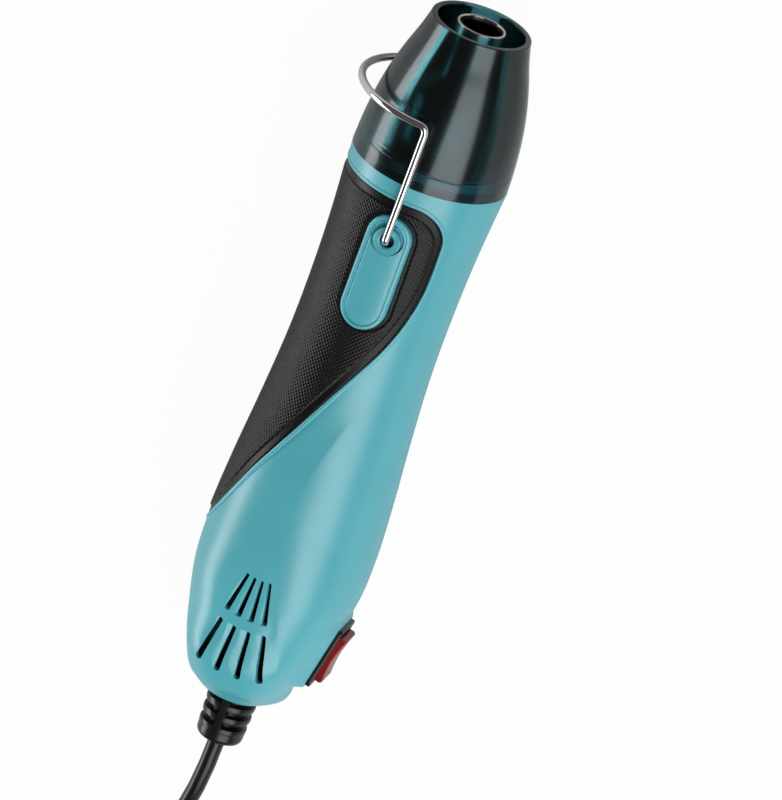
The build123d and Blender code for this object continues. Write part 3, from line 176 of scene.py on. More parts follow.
BOARD = finish_of("board", (0.03, 0.10, 0.04), (0.05, 0.16, 0.07), 0.4)
TINNED = finish_of("tinned", (0.58, 0.56, 0.50), (0.70, 0.68, 0.62), 0.28, 1.0)
SLEEVE = finish_of("lead_sleeve", (0.018, 0.018, 0.02), (0.03, 0.03, 0.033), 0.5)


def mixed_material(name):
    """A material of nothing but a mix of two shaders, which the caller fills."""
    m = bpy.data.materials.new(name)
    m.use_nodes = True
    m.node_tree.nodes.clear()
    mix = add_node(m, "MixShader")
    m.node_tree.links.new(mix.outputs["Shader"], add_node(m, "OutputMaterial").inputs["Surface"])
    return m, m.node_tree.links, mix


def tinted():
    """Smoky clear plastic: tinted straight-through light under a glossy skin."""
    m, links, mix = mixed_material("tinted_clear")
    clear = add_node(m, "BsdfTransparent")
    gloss = add_node(m, "BsdfGlossy", Roughness=0.18, Color=(0.95, 0.98, 1.0, 1))
    shade = ramp(m, noise(m, 45, 2.0), (0.18, 0.37, 0.39), (0.20, 0.40, 0.42))
    links.new(shade.outputs["Color"], clear.inputs["Color"])
    links.new(add_node(m, "Fresnel", IOR=1.6).outputs["Fac"], mix.inputs["Fac"])
    links.new(clear.outputs["BSDF"], mix.inputs[1])
    links.new(gloss.outputs["BSDF"], mix.inputs[2])
    return m


TINTED = tinted()


# -------- mesh helpers

def add_object(name, data):
    o = bpy.data.objects.new(name, data)
    bpy.context.scene.collection.objects.link(o)
    return o


def smooth(mesh, sharp):
    """Smooth shading but for edges over an angle in degrees."""
    mesh.polygons.foreach_set("use_smooth", [True] * len(mesh.polygons))
    mesh.set_sharp_from_angle(angle=math.radians(sharp))


def build_mesh(name, points, faces, clean):
    """A welded mesh with outward normals from (along, y, z) points."""
    mesh = bpy.data.meshes.new(name)
    mesh.from_pydata(world(points).tolist(), [], [list(map(int, f)) for f in faces])
    if clean:
        mesh.validate()
    bm = bmesh.new()
    bm.from_mesh(mesh)
    bmesh.ops.remove_doubles(bm, verts=bm.verts, dist=WELD)
    if clean:
        bmesh.ops.dissolve_degenerate(bm, edges=bm.edges, dist=WELD)
    bmesh.ops.recalc_face_normals(bm, faces=bm.faces)
    bm.to_mesh(mesh)
    bm.free()
    return mesh


def piece(name, points, faces, mat, slot, body="housing", replaces=(), sharp=35.0):
    """A visible piece on a body of the frame."""
    mesh = build_mesh(name, points, faces, True)
    smooth(mesh, sharp)
    mesh.materials.append(mat)
    o = add_object(name, mesh)
    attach(o, body)
    if replaces:
        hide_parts(*replaces)
    return o


def flip(points, sign):
    """The points as they are for sign 1, or mirrored to the lower half for sign -1."""
    return np.asarray(points, dtype=float) * np.array([1, 1, sign])


def circle(along, y, radius, steps):
    t = np.linspace(0, 2 * math.pi, steps, endpoint=False)
    return [(along + radius * math.cos(q), y + radius * math.sin(q)) for q in t]


def grid_faces(rows, cols, wrap_rows=False, wrap_cols=False):
    faces = []
    for i in range(rows if wrap_rows else rows - 1):
        for j in range(cols if wrap_cols else cols - 1):
            a, b = i * cols, (i + 1) % rows * cols
            c, d = j, (j + 1) % cols
            faces.append((a + c, a + d, b + d, b + c))
    return faces


def lathe(name, profile, mat, segments=128, **more):
    """A closed ring turned about the tool's axis from (along, radius) points."""
    p = np.array(profile, dtype=float)
    angle = np.linspace(0, 2 * math.pi, segments, endpoint=False)
    y = p[:, 1][:, None] * np.cos(angle)
    z = p[:, 1][:, None] * np.sin(angle)
    x = np.repeat(p[:, 0][:, None], segments, axis=1)
    points = np.stack([x, y, z], axis=-1).reshape(-1, 3)
    return piece(name, points, grid_faces(len(p), segments, True, True), mat, **more)


def arc(centre, radius, start, end, steps):
    t = np.radians(np.linspace(start, end, steps))
    return [(centre[0] + radius * math.cos(a), centre[1] + radius * math.sin(a)) for a in t]


def tube_mesh(path, radius, sides):
    """Points and faces of a round tube along a path, with steady frames and flat ends."""
    p = np.asarray(path, dtype=float)
    ways = np.gradient(p, axis=0)
    ways /= np.linalg.norm(ways, axis=1)[:, None]
    side = np.cross(ways[0], (0, 0, 1) if abs(ways[0][2]) < 0.9 else (0, 1, 0))
    angle = np.linspace(0, 2 * math.pi, sides, endpoint=False)
    rings = []
    for point, way in zip(p, ways):
        side = side - way * np.dot(side, way)
        side /= np.linalg.norm(side)
        up = np.cross(way, side)
        rings.append(point + radius * (np.cos(angle)[:, None] * side + np.sin(angle)[:, None] * up))
    faces = grid_faces(len(p), sides, False, True)
    faces.append(tuple(range(sides - 1, -1, -1)))
    faces.append(tuple(range((len(p) - 1) * sides, len(p) * sides)))
    return np.concatenate(rings), faces


def fillet_points(points, radii, steps=14):
    """A polyline with its inner corners rounded."""
    out = [np.array(points[0], dtype=float)]
    for a, b, c, r in zip(points, points[1:], points[2:], radii):
        a, b, c = (np.array(q, dtype=float) for q in (a, b, c))
        d0, d1 = (a - b) / np.linalg.norm(a - b), (c - b) / np.linalg.norm(c - b)
        half = math.acos(np.clip(np.dot(d0, d1), -1, 1)) / 2
        run = r / math.tan(half)
        middle = b + (d0 + d1) / np.linalg.norm(d0 + d1) * (r / math.sin(half))
        s, e = b + d0 * run - middle, b + d1 * run - middle
        total = math.pi - 2 * half
        for k in range(steps + 1):
            t = k / steps
            w = math.sin((1 - t) * total) * s + math.sin(t * total) * e
            out.append(middle + w / math.sin(total))
    out.append(np.array(points[-1], dtype=float))
    return np.array(out)


def resample(path, count=None, spacing=None):
    """Points evenly spaced along a path, by their number or their distance."""
    p = np.asarray(path, dtype=float)
    length = np.concatenate([[0], np.cumsum(np.linalg.norm(np.diff(p, axis=0), axis=1))])
    count = count or max(int(length[-1] / spacing), 2) + 1
    at = np.linspace(0, length[-1], count)
    return np.stack([np.interp(at, length, p[:, k]) for k in range(p.shape[1])], axis=1)


def cut(target, cutters):
    """Cuts the cutters out of a piece and deletes them."""
    bpy.context.view_layer.update()
    for tool in cutters:
        mod = target.modifiers.new("cut", "BOOLEAN")
        mod.operation = "DIFFERENCE"
        mod.solver = "MANIFOLD"
        mod.object = tool
    graph = bpy.context.evaluated_depsgraph_get()
    mesh = bpy.data.meshes.new_from_object(target.evaluated_get(graph))
    target.modifiers.clear()
    mat = target.data.materials[0]
    target.data = mesh
    mesh.materials.clear()
    mesh.materials.append(mat)
    mesh.polygons.foreach_set("material_index", [0] * len(mesh.polygons))
    for tool in cutters:
        bpy.data.objects.remove(tool)
    smooth(mesh, 32)
    return target


def cutter(points, faces):
    return add_object("cutter", build_mesh("cutter", points, faces, False))


def prism(outline, low, high):
    """A closed upright solid over an (along, y) outline."""
    n = len(outline)
    verts = [(a, y, low) for a, y in outline] + [(a, y, high) for a, y in outline]
    faces = [tuple(range(n - 1, -1, -1)), tuple(range(n, 2 * n))]
    faces += [(i, (i + 1) % n, n + (i + 1) % n, n + i) for i in range(n)]
    return verts, faces


# -------- the housing's outside

def widths(along):
    """The shares of width and depth and the squareness of the housing at stations."""
    share = np.clip((np.asarray(along, dtype=float) - SEAM) / HOUSING, 0, 1)
    return curve_through(SHARES, share)


def section(along, count):
    """Points of the upper half section, evenly spaced from the grip side to the switch side."""
    width, depth, square = widths(np.array([along]))[0]
    t = np.linspace(0, math.pi, 721)
    y = HEEL * width * np.sign(np.cos(t)) * np.abs(np.cos(t)) ** (2 / square)
    z = HEEL * width * depth * np.sin(t) ** (2 / square)
    z = soft_min(z, FLAT, FLAT_BLEND)
    z[0] = z[-1] = 0
    return resample(np.stack([np.full_like(y, along), y, z], axis=1), count)


def surface_z(along, y):
    """Height of the housing's outside above the axis at places seen from above."""
    w = widths(along)
    half, depth, square = HEEL * w[..., 0], HEEL * w[..., 0] * w[..., 1], w[..., 2]
    c = np.clip(np.abs(y) / half, 0, 1) ** (square / 2)
    z = depth * np.sqrt(np.clip(1 - c * c, 0, 1)) ** (2 / square)
    return soft_min(z, FLAT, FLAT_BLEND)


def surface_normals(rows):
    """Outward normals of a grid of points by differences."""
    da = np.gradient(rows, axis=0)
    dc = np.gradient(rows, axis=1)
    n = np.cross(dc, da)
    n /= np.maximum(np.linalg.norm(n, axis=-1), 1e-12)[..., None]
    outward = rows * np.array([0, 1, 1])
    return n * np.sign(np.sum(n * outward, axis=-1) + 1e-9)[..., None]


END_Y = float(HEEL * widths(np.array([GRIP_END]))[0][0])
# the grip's outline seen from above: across the front, back along the top and out to its point
GRIP_LINE = fillet_points(
    [(GRIP_START, 40.0), (GRIP_START, -13.8), (SEAM + 38.4, -13.8), (SEAM + 94.0, 13.2), (GRIP_END, END_Y)],
    (9.5, 68.0, 90.0))


def grip_edge_y(along):
    """Where the grip's outline crosses a station, seen from above."""
    line = GRIP_LINE[1:]
    keep = np.concatenate([[True], np.diff(line[:, 0]) > 1e-9])
    return np.interp(along, line[keep][:, 0], line[keep][:, 1])


def grip_outline_3d():
    """The grip's outline on the housing, from the parting plane over the top and back to it."""
    half = float(HEEL * widths(np.array([GRIP_START]))[0][0])
    t = np.linspace(0, math.radians(115), 300)
    front = [(GRIP_START, half * math.cos(a)) for a in t if half * math.cos(a) > GRIP_LINE[1][1] + 0.01]
    plan = np.array(front + [tuple(q) for q in GRIP_LINE[1:]])
    plan = resample(plan, spacing=0.1)
    w = HEEL * widths(plan[:, 0])[:, 0]
    plan[:, 1] = np.minimum(plan[:, 1], w)
    z = surface_z(plan[:, 0], plan[:, 1])
    z[-1] = 0
    z[0] = 0
    return resample(np.column_stack([plan, z]), spacing=0.6)


OUTLINE = grip_outline_3d()


def distance_to(points, line):
    """Distance from each point to the nearest of a line's points, worked out in chunks to save memory."""
    chunk = 4000
    flat = points.reshape(-1, 3)
    out = np.empty(len(flat))
    for i in range(0, len(flat), chunk):
        d = flat[i:i + chunk, None, :] - line[None, :, :]
        out[i:i + chunk] = np.sqrt((d * d).sum(-1)).min(1)
    return out.reshape(points.shape[:-1])


# the switch's pad: its outward normal, its long side, the middle of its face, and its size
LEAN = math.radians(11.2)
PAD_N = np.array([math.sin(LEAN), -math.cos(LEAN), 0.0])
PAD_X = np.array([-math.cos(LEAN), -math.sin(LEAN), 0.0])
PAD_O = np.array([SEAM + 143.7, -20.5, 0.0])
PAD_HALF, PAD_CORNER = (10.8, 7.7), 3.0
SWITCH_SHARE = 0.87    # the switch is drawn smaller than the solid's
# how far the crease lies to the switch's side of the axis, by stations
CREASE = np.array([(98, 14.5), (104, 11.8), (110, 9.3), (115.6, 7.3), (120, 5.7), (125.2, 4.1), (130, 3.0),
                   (135.1, 2.2), (143.6, 1.7),
                   (155, 3.0), (162.2, 4.5), (170.8, 7.2), (178, 9.9), (193.4, 14.5), (200, 17.0)])


def relief(rows):
    """The housing's surface with its crease and the raised pad of the switch."""
    n = surface_normals(rows)
    along, y, z = rows[..., 0], rows[..., 1], rows[..., 2]
    # the crease is a fold: from its line the surface falls away towards the grip, and comes back further on
    left = np.maximum(y + np.interp(along, CREASE[:, 0], CREASE[:, 1]), 0)
    sink = 1.25 * (1 - np.exp(-left / 4.0)) * np.exp(-left / 13.0)
    span = step(103, 126, along) * (1 - step(190, 203, along))
    top = step(2.0, 9.0, z)
    flat = step(REST - 0.9, REST - 0.1, z)
    rows = rows - n * (sink * span * top * (1 - flat))[..., None]
    # the pad: level inside its outline, and falling off faster at its ends than at its sides
    rel = rows - PAD_O
    a, b, c = rel @ PAD_X, rel[..., 2], rel @ PAD_N
    qa, qb = (np.abs(v) - (half - PAD_CORNER) for v, half in zip((a, b), PAD_HALF))
    over_a, over_b = np.maximum(qa, 0), np.maximum(qb, 0)
    corner = np.hypot(over_a, over_b)
    out = corner + np.minimum(np.maximum(qa, qb), 0) - PAD_CORNER
    end = np.clip(over_a / np.maximum(corner, 1e-9), 0, 1)
    slope = 0.42 + 1.7 * end ** 2
    beyond = np.maximum(out, 0)
    pad = -beyond * slope - 0.035 * beyond ** 2
    high = -soft_min(-pad, -c, 0.9)
    near = (out < 16) & (c > -12) & (y < 0)
    lift = np.where(near, np.maximum(high - c, 0), 0)
    return rows + PAD_N * lift[..., None]


def shell_grid(cols):
    """Sections of the housing's upper half, closer together where the form turns."""
    stations = [*np.linspace(SEAM, 160, 150), *np.linspace(160.8, 203, 62), *np.linspace(203.4, 207.5, 14)]
    return np.stack([section(a, cols) for a in stations])


def half_shell(name, screws):
    """One half of the housing. The lower half, with the screw holes, is the upper one mirrored."""
    cols = 121
    grid = shell_grid(cols)
    n = surface_normals(grid)
    d = distance_to(grid, OUTLINE)
    edge = grip_edge_y(grid[..., 0])
    inside = (grid[..., 1] > edge) & (grid[..., 0] > GRIP_START) & (grid[..., 0] < GRIP_END)
    signed = np.where(inside, d, -d)
    outer = relief(grid) - n * (GRIP_RECESS * step(-0.1, 0.5, signed))[..., None]
    inner = grid - n * WALL
    inner[..., 2] = np.clip(inner[..., 2], 0, REST - WALL)
    inner[..., 0] = np.clip(grid[..., 0], SEAM, SEAM + HOUSING - WALL)
    for rowset in (outer, inner):
        rowset[:, 0, 2] = 0
        rowset[:, -1, 2] = 0
    # a fine groove where the two halves meet
    outer[:, 0, 1] -= 0.14
    outer[:, -1, 1] += 0.14
    angle = np.linspace(0, math.pi, cols)

    def ring(along, radius):
        return np.stack([np.full(cols, along), radius * np.cos(angle), radius * np.sin(angle)], axis=-1)

    # round the cord at the back, and under the shroud at the front
    neck = [ring(SEAM + HOUSING, 6.6), ring(SEAM + HOUSING - 0.4, 6.3), ring(SEAM + HOUSING - WALL, 6.3)]
    back = [row for row in inner[::-1] if row[0, 0] > SEAM + 4.2]
    collar = [ring(SEAM + a, r) for a, r in (
        (4.0, 18.4), (-4.6, 18.4), (-4.6, 20.2), (-4.4, 20.4), (-0.02, 20.4), (0.0, 22.05))]
    rows = [*outer, *neck, *back, *collar]
    for row in rows:
        row[:, 2] = np.maximum(row[:, 2], 0)
    total = len(rows)
    faces = grid_faces(total, cols, True, False)
    faces.append(tuple(i * cols for i in range(total)))
    faces.append(tuple(i * cols + cols - 1 for i in reversed(range(total))))
    sign = -1 if screws else 1
    shell = piece(name, flip(np.concatenate(rows), sign), faces, TEAL, slot="teal_plastic")
    solids = [prism(outline, REST - 9.0, REST + 3) for outline in vent_slots()] + vent_ramps()
    for along, y, radius, low, high in shell_holes(screws):
        solids.append(prism(circle(along, y, radius, 48), low, high))
    cutters = [cutter(flip(points, sign), f) for points, f in solids]
    return cut(shell, cutters + [pad_box(17.6, 11.5, -11.0, 4.0)])


def pad_point(a, b, c):
    """The place at a length, a width and a height from the middle of the pad's face."""
    return PAD_O + PAD_X * a + np.array([0, 0, b]) + PAD_N * c


def pad_box(length, width, low, high):
    """A cutter for the switch's opening."""
    corners = [(-1, -1), (1, -1), (1, 1), (-1, 1)]
    points = [pad_point(a * length / 2, b * width / 2, c) for c in (low, high) for a, b in corners]
    faces = [(3, 2, 1, 0), (4, 5, 6, 7)] + [(i, (i + 1) % 4, 4 + (i + 1) % 4, 4 + i) for i in range(4)]
    return cutter(points, faces)


# places of the screws behind the seam
SCREWS = [(57.0, -13.0), (103.0, -17.4), (124.5, 17.2), (156.6, 10.2), (156.6, -10.2)]
# the vents: slots that fan out from an apex in two rows of four
APEX = SEAM + 105.2
VENTS = [(row, column) for row in (0, 1) for column in range(4)]
VENT_REACH = ((16.8, 29.4), (32.4, 47.2))    # from the apex to both ends of a slot, by rows
VENT_PITCH = 7.5                             # degrees from slot to slot
VENT_BEFORE, VENT_AFTER = 1.55, (1.55, 0.75)    # degrees from a slot's middle to its sides
RAMP_BEFORE, RAMP_AFTER = 1.2, (3.1, 4.1)       # the same for the ramp beside it


def shell_holes(screws):
    """Holes as (along, y, radius, low, high): the stand's, and the screws' on the lower half."""
    holes = [(PIVOT, 0.0, 3.75, 14.0, 30.0)]
    if screws:
        holes += [(SEAM + a, y, 2.4, 4.0, 30.0) for a, y in SCREWS]
    return holes


def rounded(corners, radii):
    """A closed outline with rounded corners."""
    out = []
    n = len(corners)
    for i, r in enumerate(radii):
        part = fillet_points([corners[i - 1], corners[i], corners[(i + 1) % n]], [r], 6)
        out += [tuple(q) for q in part[1:-1]]
    return out


def vent_outline(row, column, before, after, spread):
    """A slot's outline between two angles from its middle, with ends rounded for a spread in degrees."""
    inner, outer = VENT_REACH[row]
    centre = (column - 1.5) * VENT_PITCH
    corners = []
    for radius, side in ((inner, -before), (inner, after), (outer, after), (outer, -before)):
        q = math.radians(centre + side)
        corners.append((APEX + radius * math.cos(q), radius * math.sin(q)))
    narrow = inner * math.radians(spread) * 0.45
    return rounded(corners, (narrow, narrow, narrow * 1.5, narrow * 1.5))


def vent_slots():
    return [vent_outline(row, column, VENT_BEFORE, VENT_AFTER[row], VENT_BEFORE + VENT_AFTER[row])
            for row, column in VENTS]


def vent_ramps():
    """Wedges that slope down to each slot from its far side."""
    ramps = []
    for row, column in VENTS:
        centre = math.radians((column - 1.5) * VENT_PITCH)
        low, high = [], []
        for a, y in vent_outline(row, column, RAMP_BEFORE, RAMP_AFTER[row], 3.1):
            side = -(a - APEX) * math.sin(centre) + y * math.cos(centre)
            reach = (a - APEX) * math.radians(RAMP_AFTER[row])
            depth = 0.15 + 1.35 * (1 - np.clip(side / reach, 0, 1))
            low.append((a, y, REST - depth))
            high.append((a, y, REST + 3))
        n = len(low)
        points = low + high + [tuple(np.mean(low, axis=0)), tuple(np.mean(high, axis=0))]
        faces = [((i + 1) % n, i, 2 * n) for i in range(n)]
        faces += [(n + i, n + (i + 1) % n, 2 * n + 1) for i in range(n)]
        faces += [(i, (i + 1) % n, n + (i + 1) % n, n + i) for i in range(n)]
        ramps.append((points, faces))
    return ramps


def vent_shade_sheet():
    """A thin near-black sheet behind the lower shell's vents: painted shade, standing in for the shadowed floor
    under the tool that would show through the vents.
    """
    count, across = 30, 24
    rows = []
    for a in np.linspace(APEX + 14.0, APEX + 57.0, count):
        full = section(a, 400)
        rows.append(resample(full[np.abs(full[:, 1]) < 13.6], across))
    grid = np.stack(rows)
    n = surface_normals(grid)
    points = flip(np.concatenate([(grid - n * d).reshape(-1, 3) for d in (2.5, 2.8)]), -1)
    total = count * across
    skin = grid_faces(count, across)
    faces = skin + [tuple(total + k for k in reversed(f)) for f in skin]
    border = list(range(across)) + [i * across + across - 1 for i in range(1, count)] \
        + [(count - 1) * across + k for k in range(across - 2, -1, -1)] \
        + [i * across for i in range(count - 2, 0, -1)]
    faces += [(p, q, total + q, total + p) for p, q in zip(border, border[1:] + border[:1])]
    return piece("vent_shade_sheet", points, faces, NEAR_BLACK, slot="black_plastic")


# -------- grip

def stadium_distance(along, y):
    """Distance in plan from the pivot plate's outline, positive outside it."""
    front, back = PLATE_ENDS
    da = np.maximum(np.maximum(front - along, along - back), 0)
    return np.hypot(da, y) - PLATE_HALF


def domes(a, b):
    """Staggered round studs, as heights from 0 to 1 on surface lengths a and b."""
    out = np.zeros_like(a)
    sx, sy = STUD_PITCH, STUD_PITCH * 0.9
    for shift in (0.0, 0.5):
        qa = (a / sx + shift) % 1.0 - 0.5
        qb = (b / sy + shift) % 1.0 - 0.5
        r2 = (qa * sx) ** 2 + (qb * sy) ** 2
        out = np.maximum(out, np.sqrt(np.clip(1 - r2 / (0.50 * STUD_PITCH) ** 2, 0, 1)))
    return out


def grip_half(name, sign):
    """The grip's upper or lower half: a studded skin with a rounded border and a thin base."""
    spacing, front_radius, cols = 0.23, 9.5, 190
    end = SEAM + 119.2
    # the stations crowd at the front, where the outline runs across them
    near = GRIP_START + front_radius * (1 - np.cos(np.linspace(0, math.pi / 2, 70)))
    stations = np.concatenate([near, np.arange(near[-1] + spacing, end, spacing)])
    rows = []
    for a in stations:
        edge = float(grip_edge_y(a))
        full = section(a, 900)
        keep = full[full[:, 1] > edge]
        border = np.array([[a, edge, float(surface_z(np.array([a]), np.array([edge]))[0])]])
        rows.append(resample(np.concatenate([keep if len(keep) > 1 else full[:1], border]), cols))
    grid = np.stack(rows)
    n = grid * np.array([0, 1, 1])
    n /= np.maximum(np.linalg.norm(n, axis=-1), 1e-9)[..., None]
    n[..., 0] = -np.gradient(HEEL * widths(grid[..., 0])[:, 0, 0], stations)[:, None]
    n /= np.linalg.norm(n, axis=-1)[..., None]
    d = distance_to(grid, OUTLINE)
    arc_length = np.concatenate([np.zeros((len(grid), 1)),
                                 np.cumsum(np.linalg.norm(np.diff(grid, axis=1), axis=-1), axis=1)], axis=1)
    plate = stadium_distance(grid[..., 0], grid[..., 1])
    # studs keep off the border and the pivot plate, the border rounds down, and the skin dips under the plate
    studs = step(2.3, 2.9, d) * step(0.9, 1.5, plate)
    rise = -0.05 + 0.56 * domes(grid[..., 0], arc_length) * studs
    rise -= 0.10 * studs
    rise -= 0.75 * (1 - np.sqrt(np.clip(1 - (1 - np.clip(d / 0.8, 0, 1)) ** 2, 0, 1)))
    rise = np.where(plate < 0.1, -0.25, rise)
    top = grid + n * rise[..., None]
    base = grid - n * 0.95
    top[:, 0, 2] = 0
    base[:, 0, 2] = 0
    count = len(stations)
    points = np.concatenate([top.reshape(-1, 3), base.reshape(-1, 3)])
    faces = grid_faces(count, cols)
    shift = count * cols
    # the base isn't seen, so its faces are wide; the steps end on the last column
    picks = list(range(0, cols, 27))
    for i in range(count - 1):
        for p, q in zip(picks, picks[1:]):
            first = [shift + i * cols + k for k in (range(p, q + 1) if i == 0 else (p, q))]
            last = [shift + (i + 1) * cols + k for k in (range(q, p - 1, -1) if i == count - 2 else (q, p))]
            faces.append(tuple(first + last))
        for k in (0, cols - 1):
            faces.append((i * cols + k, (i + 1) * cols + k, shift + (i + 1) * cols + k, shift + i * cols + k))
    for i in (0, count - 1):
        for k in range(cols - 1):
            faces.append((i * cols + k, i * cols + k + 1, shift + i * cols + k + 1, shift + i * cols + k))
    used = np.zeros(len(points), dtype=bool)
    for f in faces:
        used[list(f)] = True
    remap = np.cumsum(used) - 1
    faces = [tuple(remap[list(f)]) for f in faces]
    node = "grip_upper" if sign > 0 else "grip_lower"
    return piece(name, flip(points[used], sign), faces, RUBBER, slot="black_rubber", replaces=[node], sharp=50)


def grip_bead(name, sign):
    """The thin raised line of the shell round the grip."""
    path = OUTLINE
    n = path * np.array([0, 1, 1])
    n /= np.linalg.norm(n, axis=1)[:, None]
    ways = np.gradient(path, axis=0)
    ways /= np.linalg.norm(ways, axis=1)[:, None]
    side = np.cross(ways, n)
    within_grip = np.array([SEAM + 60, 12.0, 10.0])
    side *= np.where(np.sum(side * (within_grip - path), axis=1) > 0, -1, 1)[:, None]
    # outwards from the grip, up from the surface
    profile = [(-0.05, -0.7), (-0.05, 0.02), (0.0, 0.14), (0.12, 0.22), (0.45, 0.26), (0.80, 0.22), (1.02, 0.12),
               (1.12, 0.0), (1.16, -0.35), (1.16, -0.7)]
    rings = np.stack([path + side * o + n * h for o, h in profile], axis=1)
    rings[0, :, 2] = 0
    rings[-1, :, 2] = 0
    rings[..., 2] = np.maximum(rings[..., 2], 0)
    count, k = len(path), len(profile)
    faces = grid_faces(count, k, False, True)
    faces += [tuple(range(k)), tuple(range((count - 1) * k, count * k))]
    return piece(name, flip(rings.reshape(-1, 3), sign), faces, TEAL, slot="teal_plastic", sharp=60)


# -------- pivot plates

END_STEPS, SIDE_STEPS = 40, 60    # points on each round end and each straight side of the plate


def stadium(inset):
    """Points round the plate's outline, drawn in by an inset."""
    r = PLATE_HALF - inset
    front, back = PLATE_ENDS
    points = []
    for t in np.linspace(math.pi / 2, 3 * math.pi / 2, END_STEPS):
        points.append((front + r * math.cos(t), r * math.sin(t)))
    for t in np.linspace(0, 1, SIDE_STEPS + 2)[1:-1]:
        points.append((front + t * (back - front), -r))
    for t in np.linspace(-math.pi / 2, math.pi / 2, END_STEPS):
        points.append((back + r * math.cos(t), r * math.sin(t)))
    for t in np.linspace(1, 0, SIDE_STEPS + 2)[1:-1]:
        points.append((front + t * (back - front), r))
    return np.array(points)


def plate_row(inset, drop):
    """The plate's outline on its curved face, drawn in and lowered."""
    p = stadium(inset)
    z = np.sqrt(np.clip((PLATE_TOP - drop) ** 2 - p[:, 1] ** 2, 0, None))
    return np.column_stack([p, z])


def pivot_plate(name, sign):
    """The bare plate with its border line, and the ring and bearing round the wire's hole."""
    # (inset, drop): the wall, the rounded edge, the border's groove and the face
    levels = [(0.0, 3.2), (0.0, 0.75), (0.05, 0.45), (0.2, 0.2), (0.45, 0.05), (0.75, 0.0), (1.0, 0.03),
              (1.12, 0.28), (1.25, 0.42), (1.5, 0.42), (1.65, 0.34), (1.8, 0.22), (2.1, 0.20), (3.2, 0.18),
              (4.6, 0.17), (6.35, 0.17)]
    rows = [plate_row(*level) for level in levels]
    n = len(rows[0])
    faces = grid_faces(len(rows), n, False, True)
    # the innermost row is closed by a strip along the middle and a face at each end
    innermost = [(len(rows) - 1) * n + k for k in range(n)]
    front = innermost[:END_STEPS]
    low = innermost[END_STEPS:END_STEPS + SIDE_STEPS]
    back = innermost[END_STEPS + SIDE_STEPS:2 * END_STEPS + SIDE_STEPS]
    high = innermost[2 * END_STEPS + SIDE_STEPS:]
    strip = list(zip([front[-1], *low, back[0]], [front[0], *reversed(high), back[-1]]))
    for (a, b), (c, d) in zip(strip, strip[1:]):
        faces.append((a, c, d, b))
    faces += [tuple(front), tuple(back), tuple(range(n - 1, -1, -1))]
    node = "pivot_plate_upper" if sign > 0 else "pivot_plate_lower"
    o = piece(name, flip(np.concatenate(rows), sign), faces, TEAL, slot="teal_plastic", replaces=[node])
    steps = 64

    def disc(radius, low, along=PIVOT):
        points, f = prism(circle(along, 0.0, radius, steps), low, PLATE_TOP + 4)
        return cutter(flip(points, sign), f)

    # the recess round the hole, and the hole
    cut(o, [disc(4.75, PLATE_TOP - 1.7, PIVOT - 0.75), disc(2.05, PLATE_TOP - 8.0)])

    def turned(suffix, profile, height, mat):
        """A closed ring about the pivot from (radius, height) points over a surface."""
        t = np.linspace(0, 2 * math.pi, steps, endpoint=False)
        rings = [np.column_stack([PIVOT + r * np.cos(t), r * np.sin(t), height(r * np.sin(t)) + h])
                 for r, h in profile]
        piece(name + suffix, flip(np.concatenate(rings), sign), grid_faces(len(profile), steps, True, True), mat,
              slot="teal_plastic", sharp=40)

    turned("_ring", [(2.05, -2.2), (2.05, -0.55), (2.25, -0.30), (2.6, -0.18), (3.1, -0.16), (3.45, -0.05),
                     (3.65, 0.06), (3.85, 0.04), (3.98, -0.12), (4.0, -0.5), (4.0, -2.2)],
           lambda y: np.sqrt(PLATE_TOP ** 2 - y ** 2) - 0.17, TEAL)
    turned("_bearing", [(1.12, -4.5), (1.12, -2.35), (1.3, -2.2), (2.0, -2.15), (2.3, -2.3), (3.5, -2.4),
                        (3.5, -4.5)],
           lambda y: np.full_like(y, PLATE_TOP), HOLDER)


# -------- stand

def stand():
    """The bent wire: up out of the plate, forward, out to the grip's side and round the nozzle."""
    leg, tip = 24.16, 17.6              # heights of the wire's legs and of its ends in the plates
    shoulder, bend = 22.36, 1.8         # the bend over the plate: its start and radius
    arch, lead, out = 59.99 - 35.9, 2.4, 2.0    # the arch's station, the bend into it and its offset
    path = [(PIVOT, 0, tip), (PIVOT, 0, shoulder - 0.2)]
    for t in np.linspace(0, math.pi / 2, 14):
        path.append((PIVOT - bend + bend * math.cos(t), 0, shoulder + bend * math.sin(t)))
    for t in np.linspace(0, 1, 40)[1:]:
        path.append((PIVOT - bend + t * (arch + lead - PIVOT + bend), 0, leg))
    for t in np.linspace(0, math.pi / 2, 16)[1:]:
        path.append((arch + lead - lead * math.sin(t), out - out * math.cos(t), leg))
    for t in np.linspace(math.pi / 2, -math.pi / 2, 90):
        path.append((arch, out + leg * math.cos(t), leg * math.sin(t)))
    half = [p for p in path if p[2] > 0.05]
    full = half + [(a, y, -z) for a, y, z in reversed(half)]
    points, faces = tube_mesh(full, 1.04, 24)
    return piece("stand_wire", points, faces, CHROME, body="stand", slot="stand_wire", replaces=["wire_stand"],
                 sharp=60)


# -------- shroud and barrel

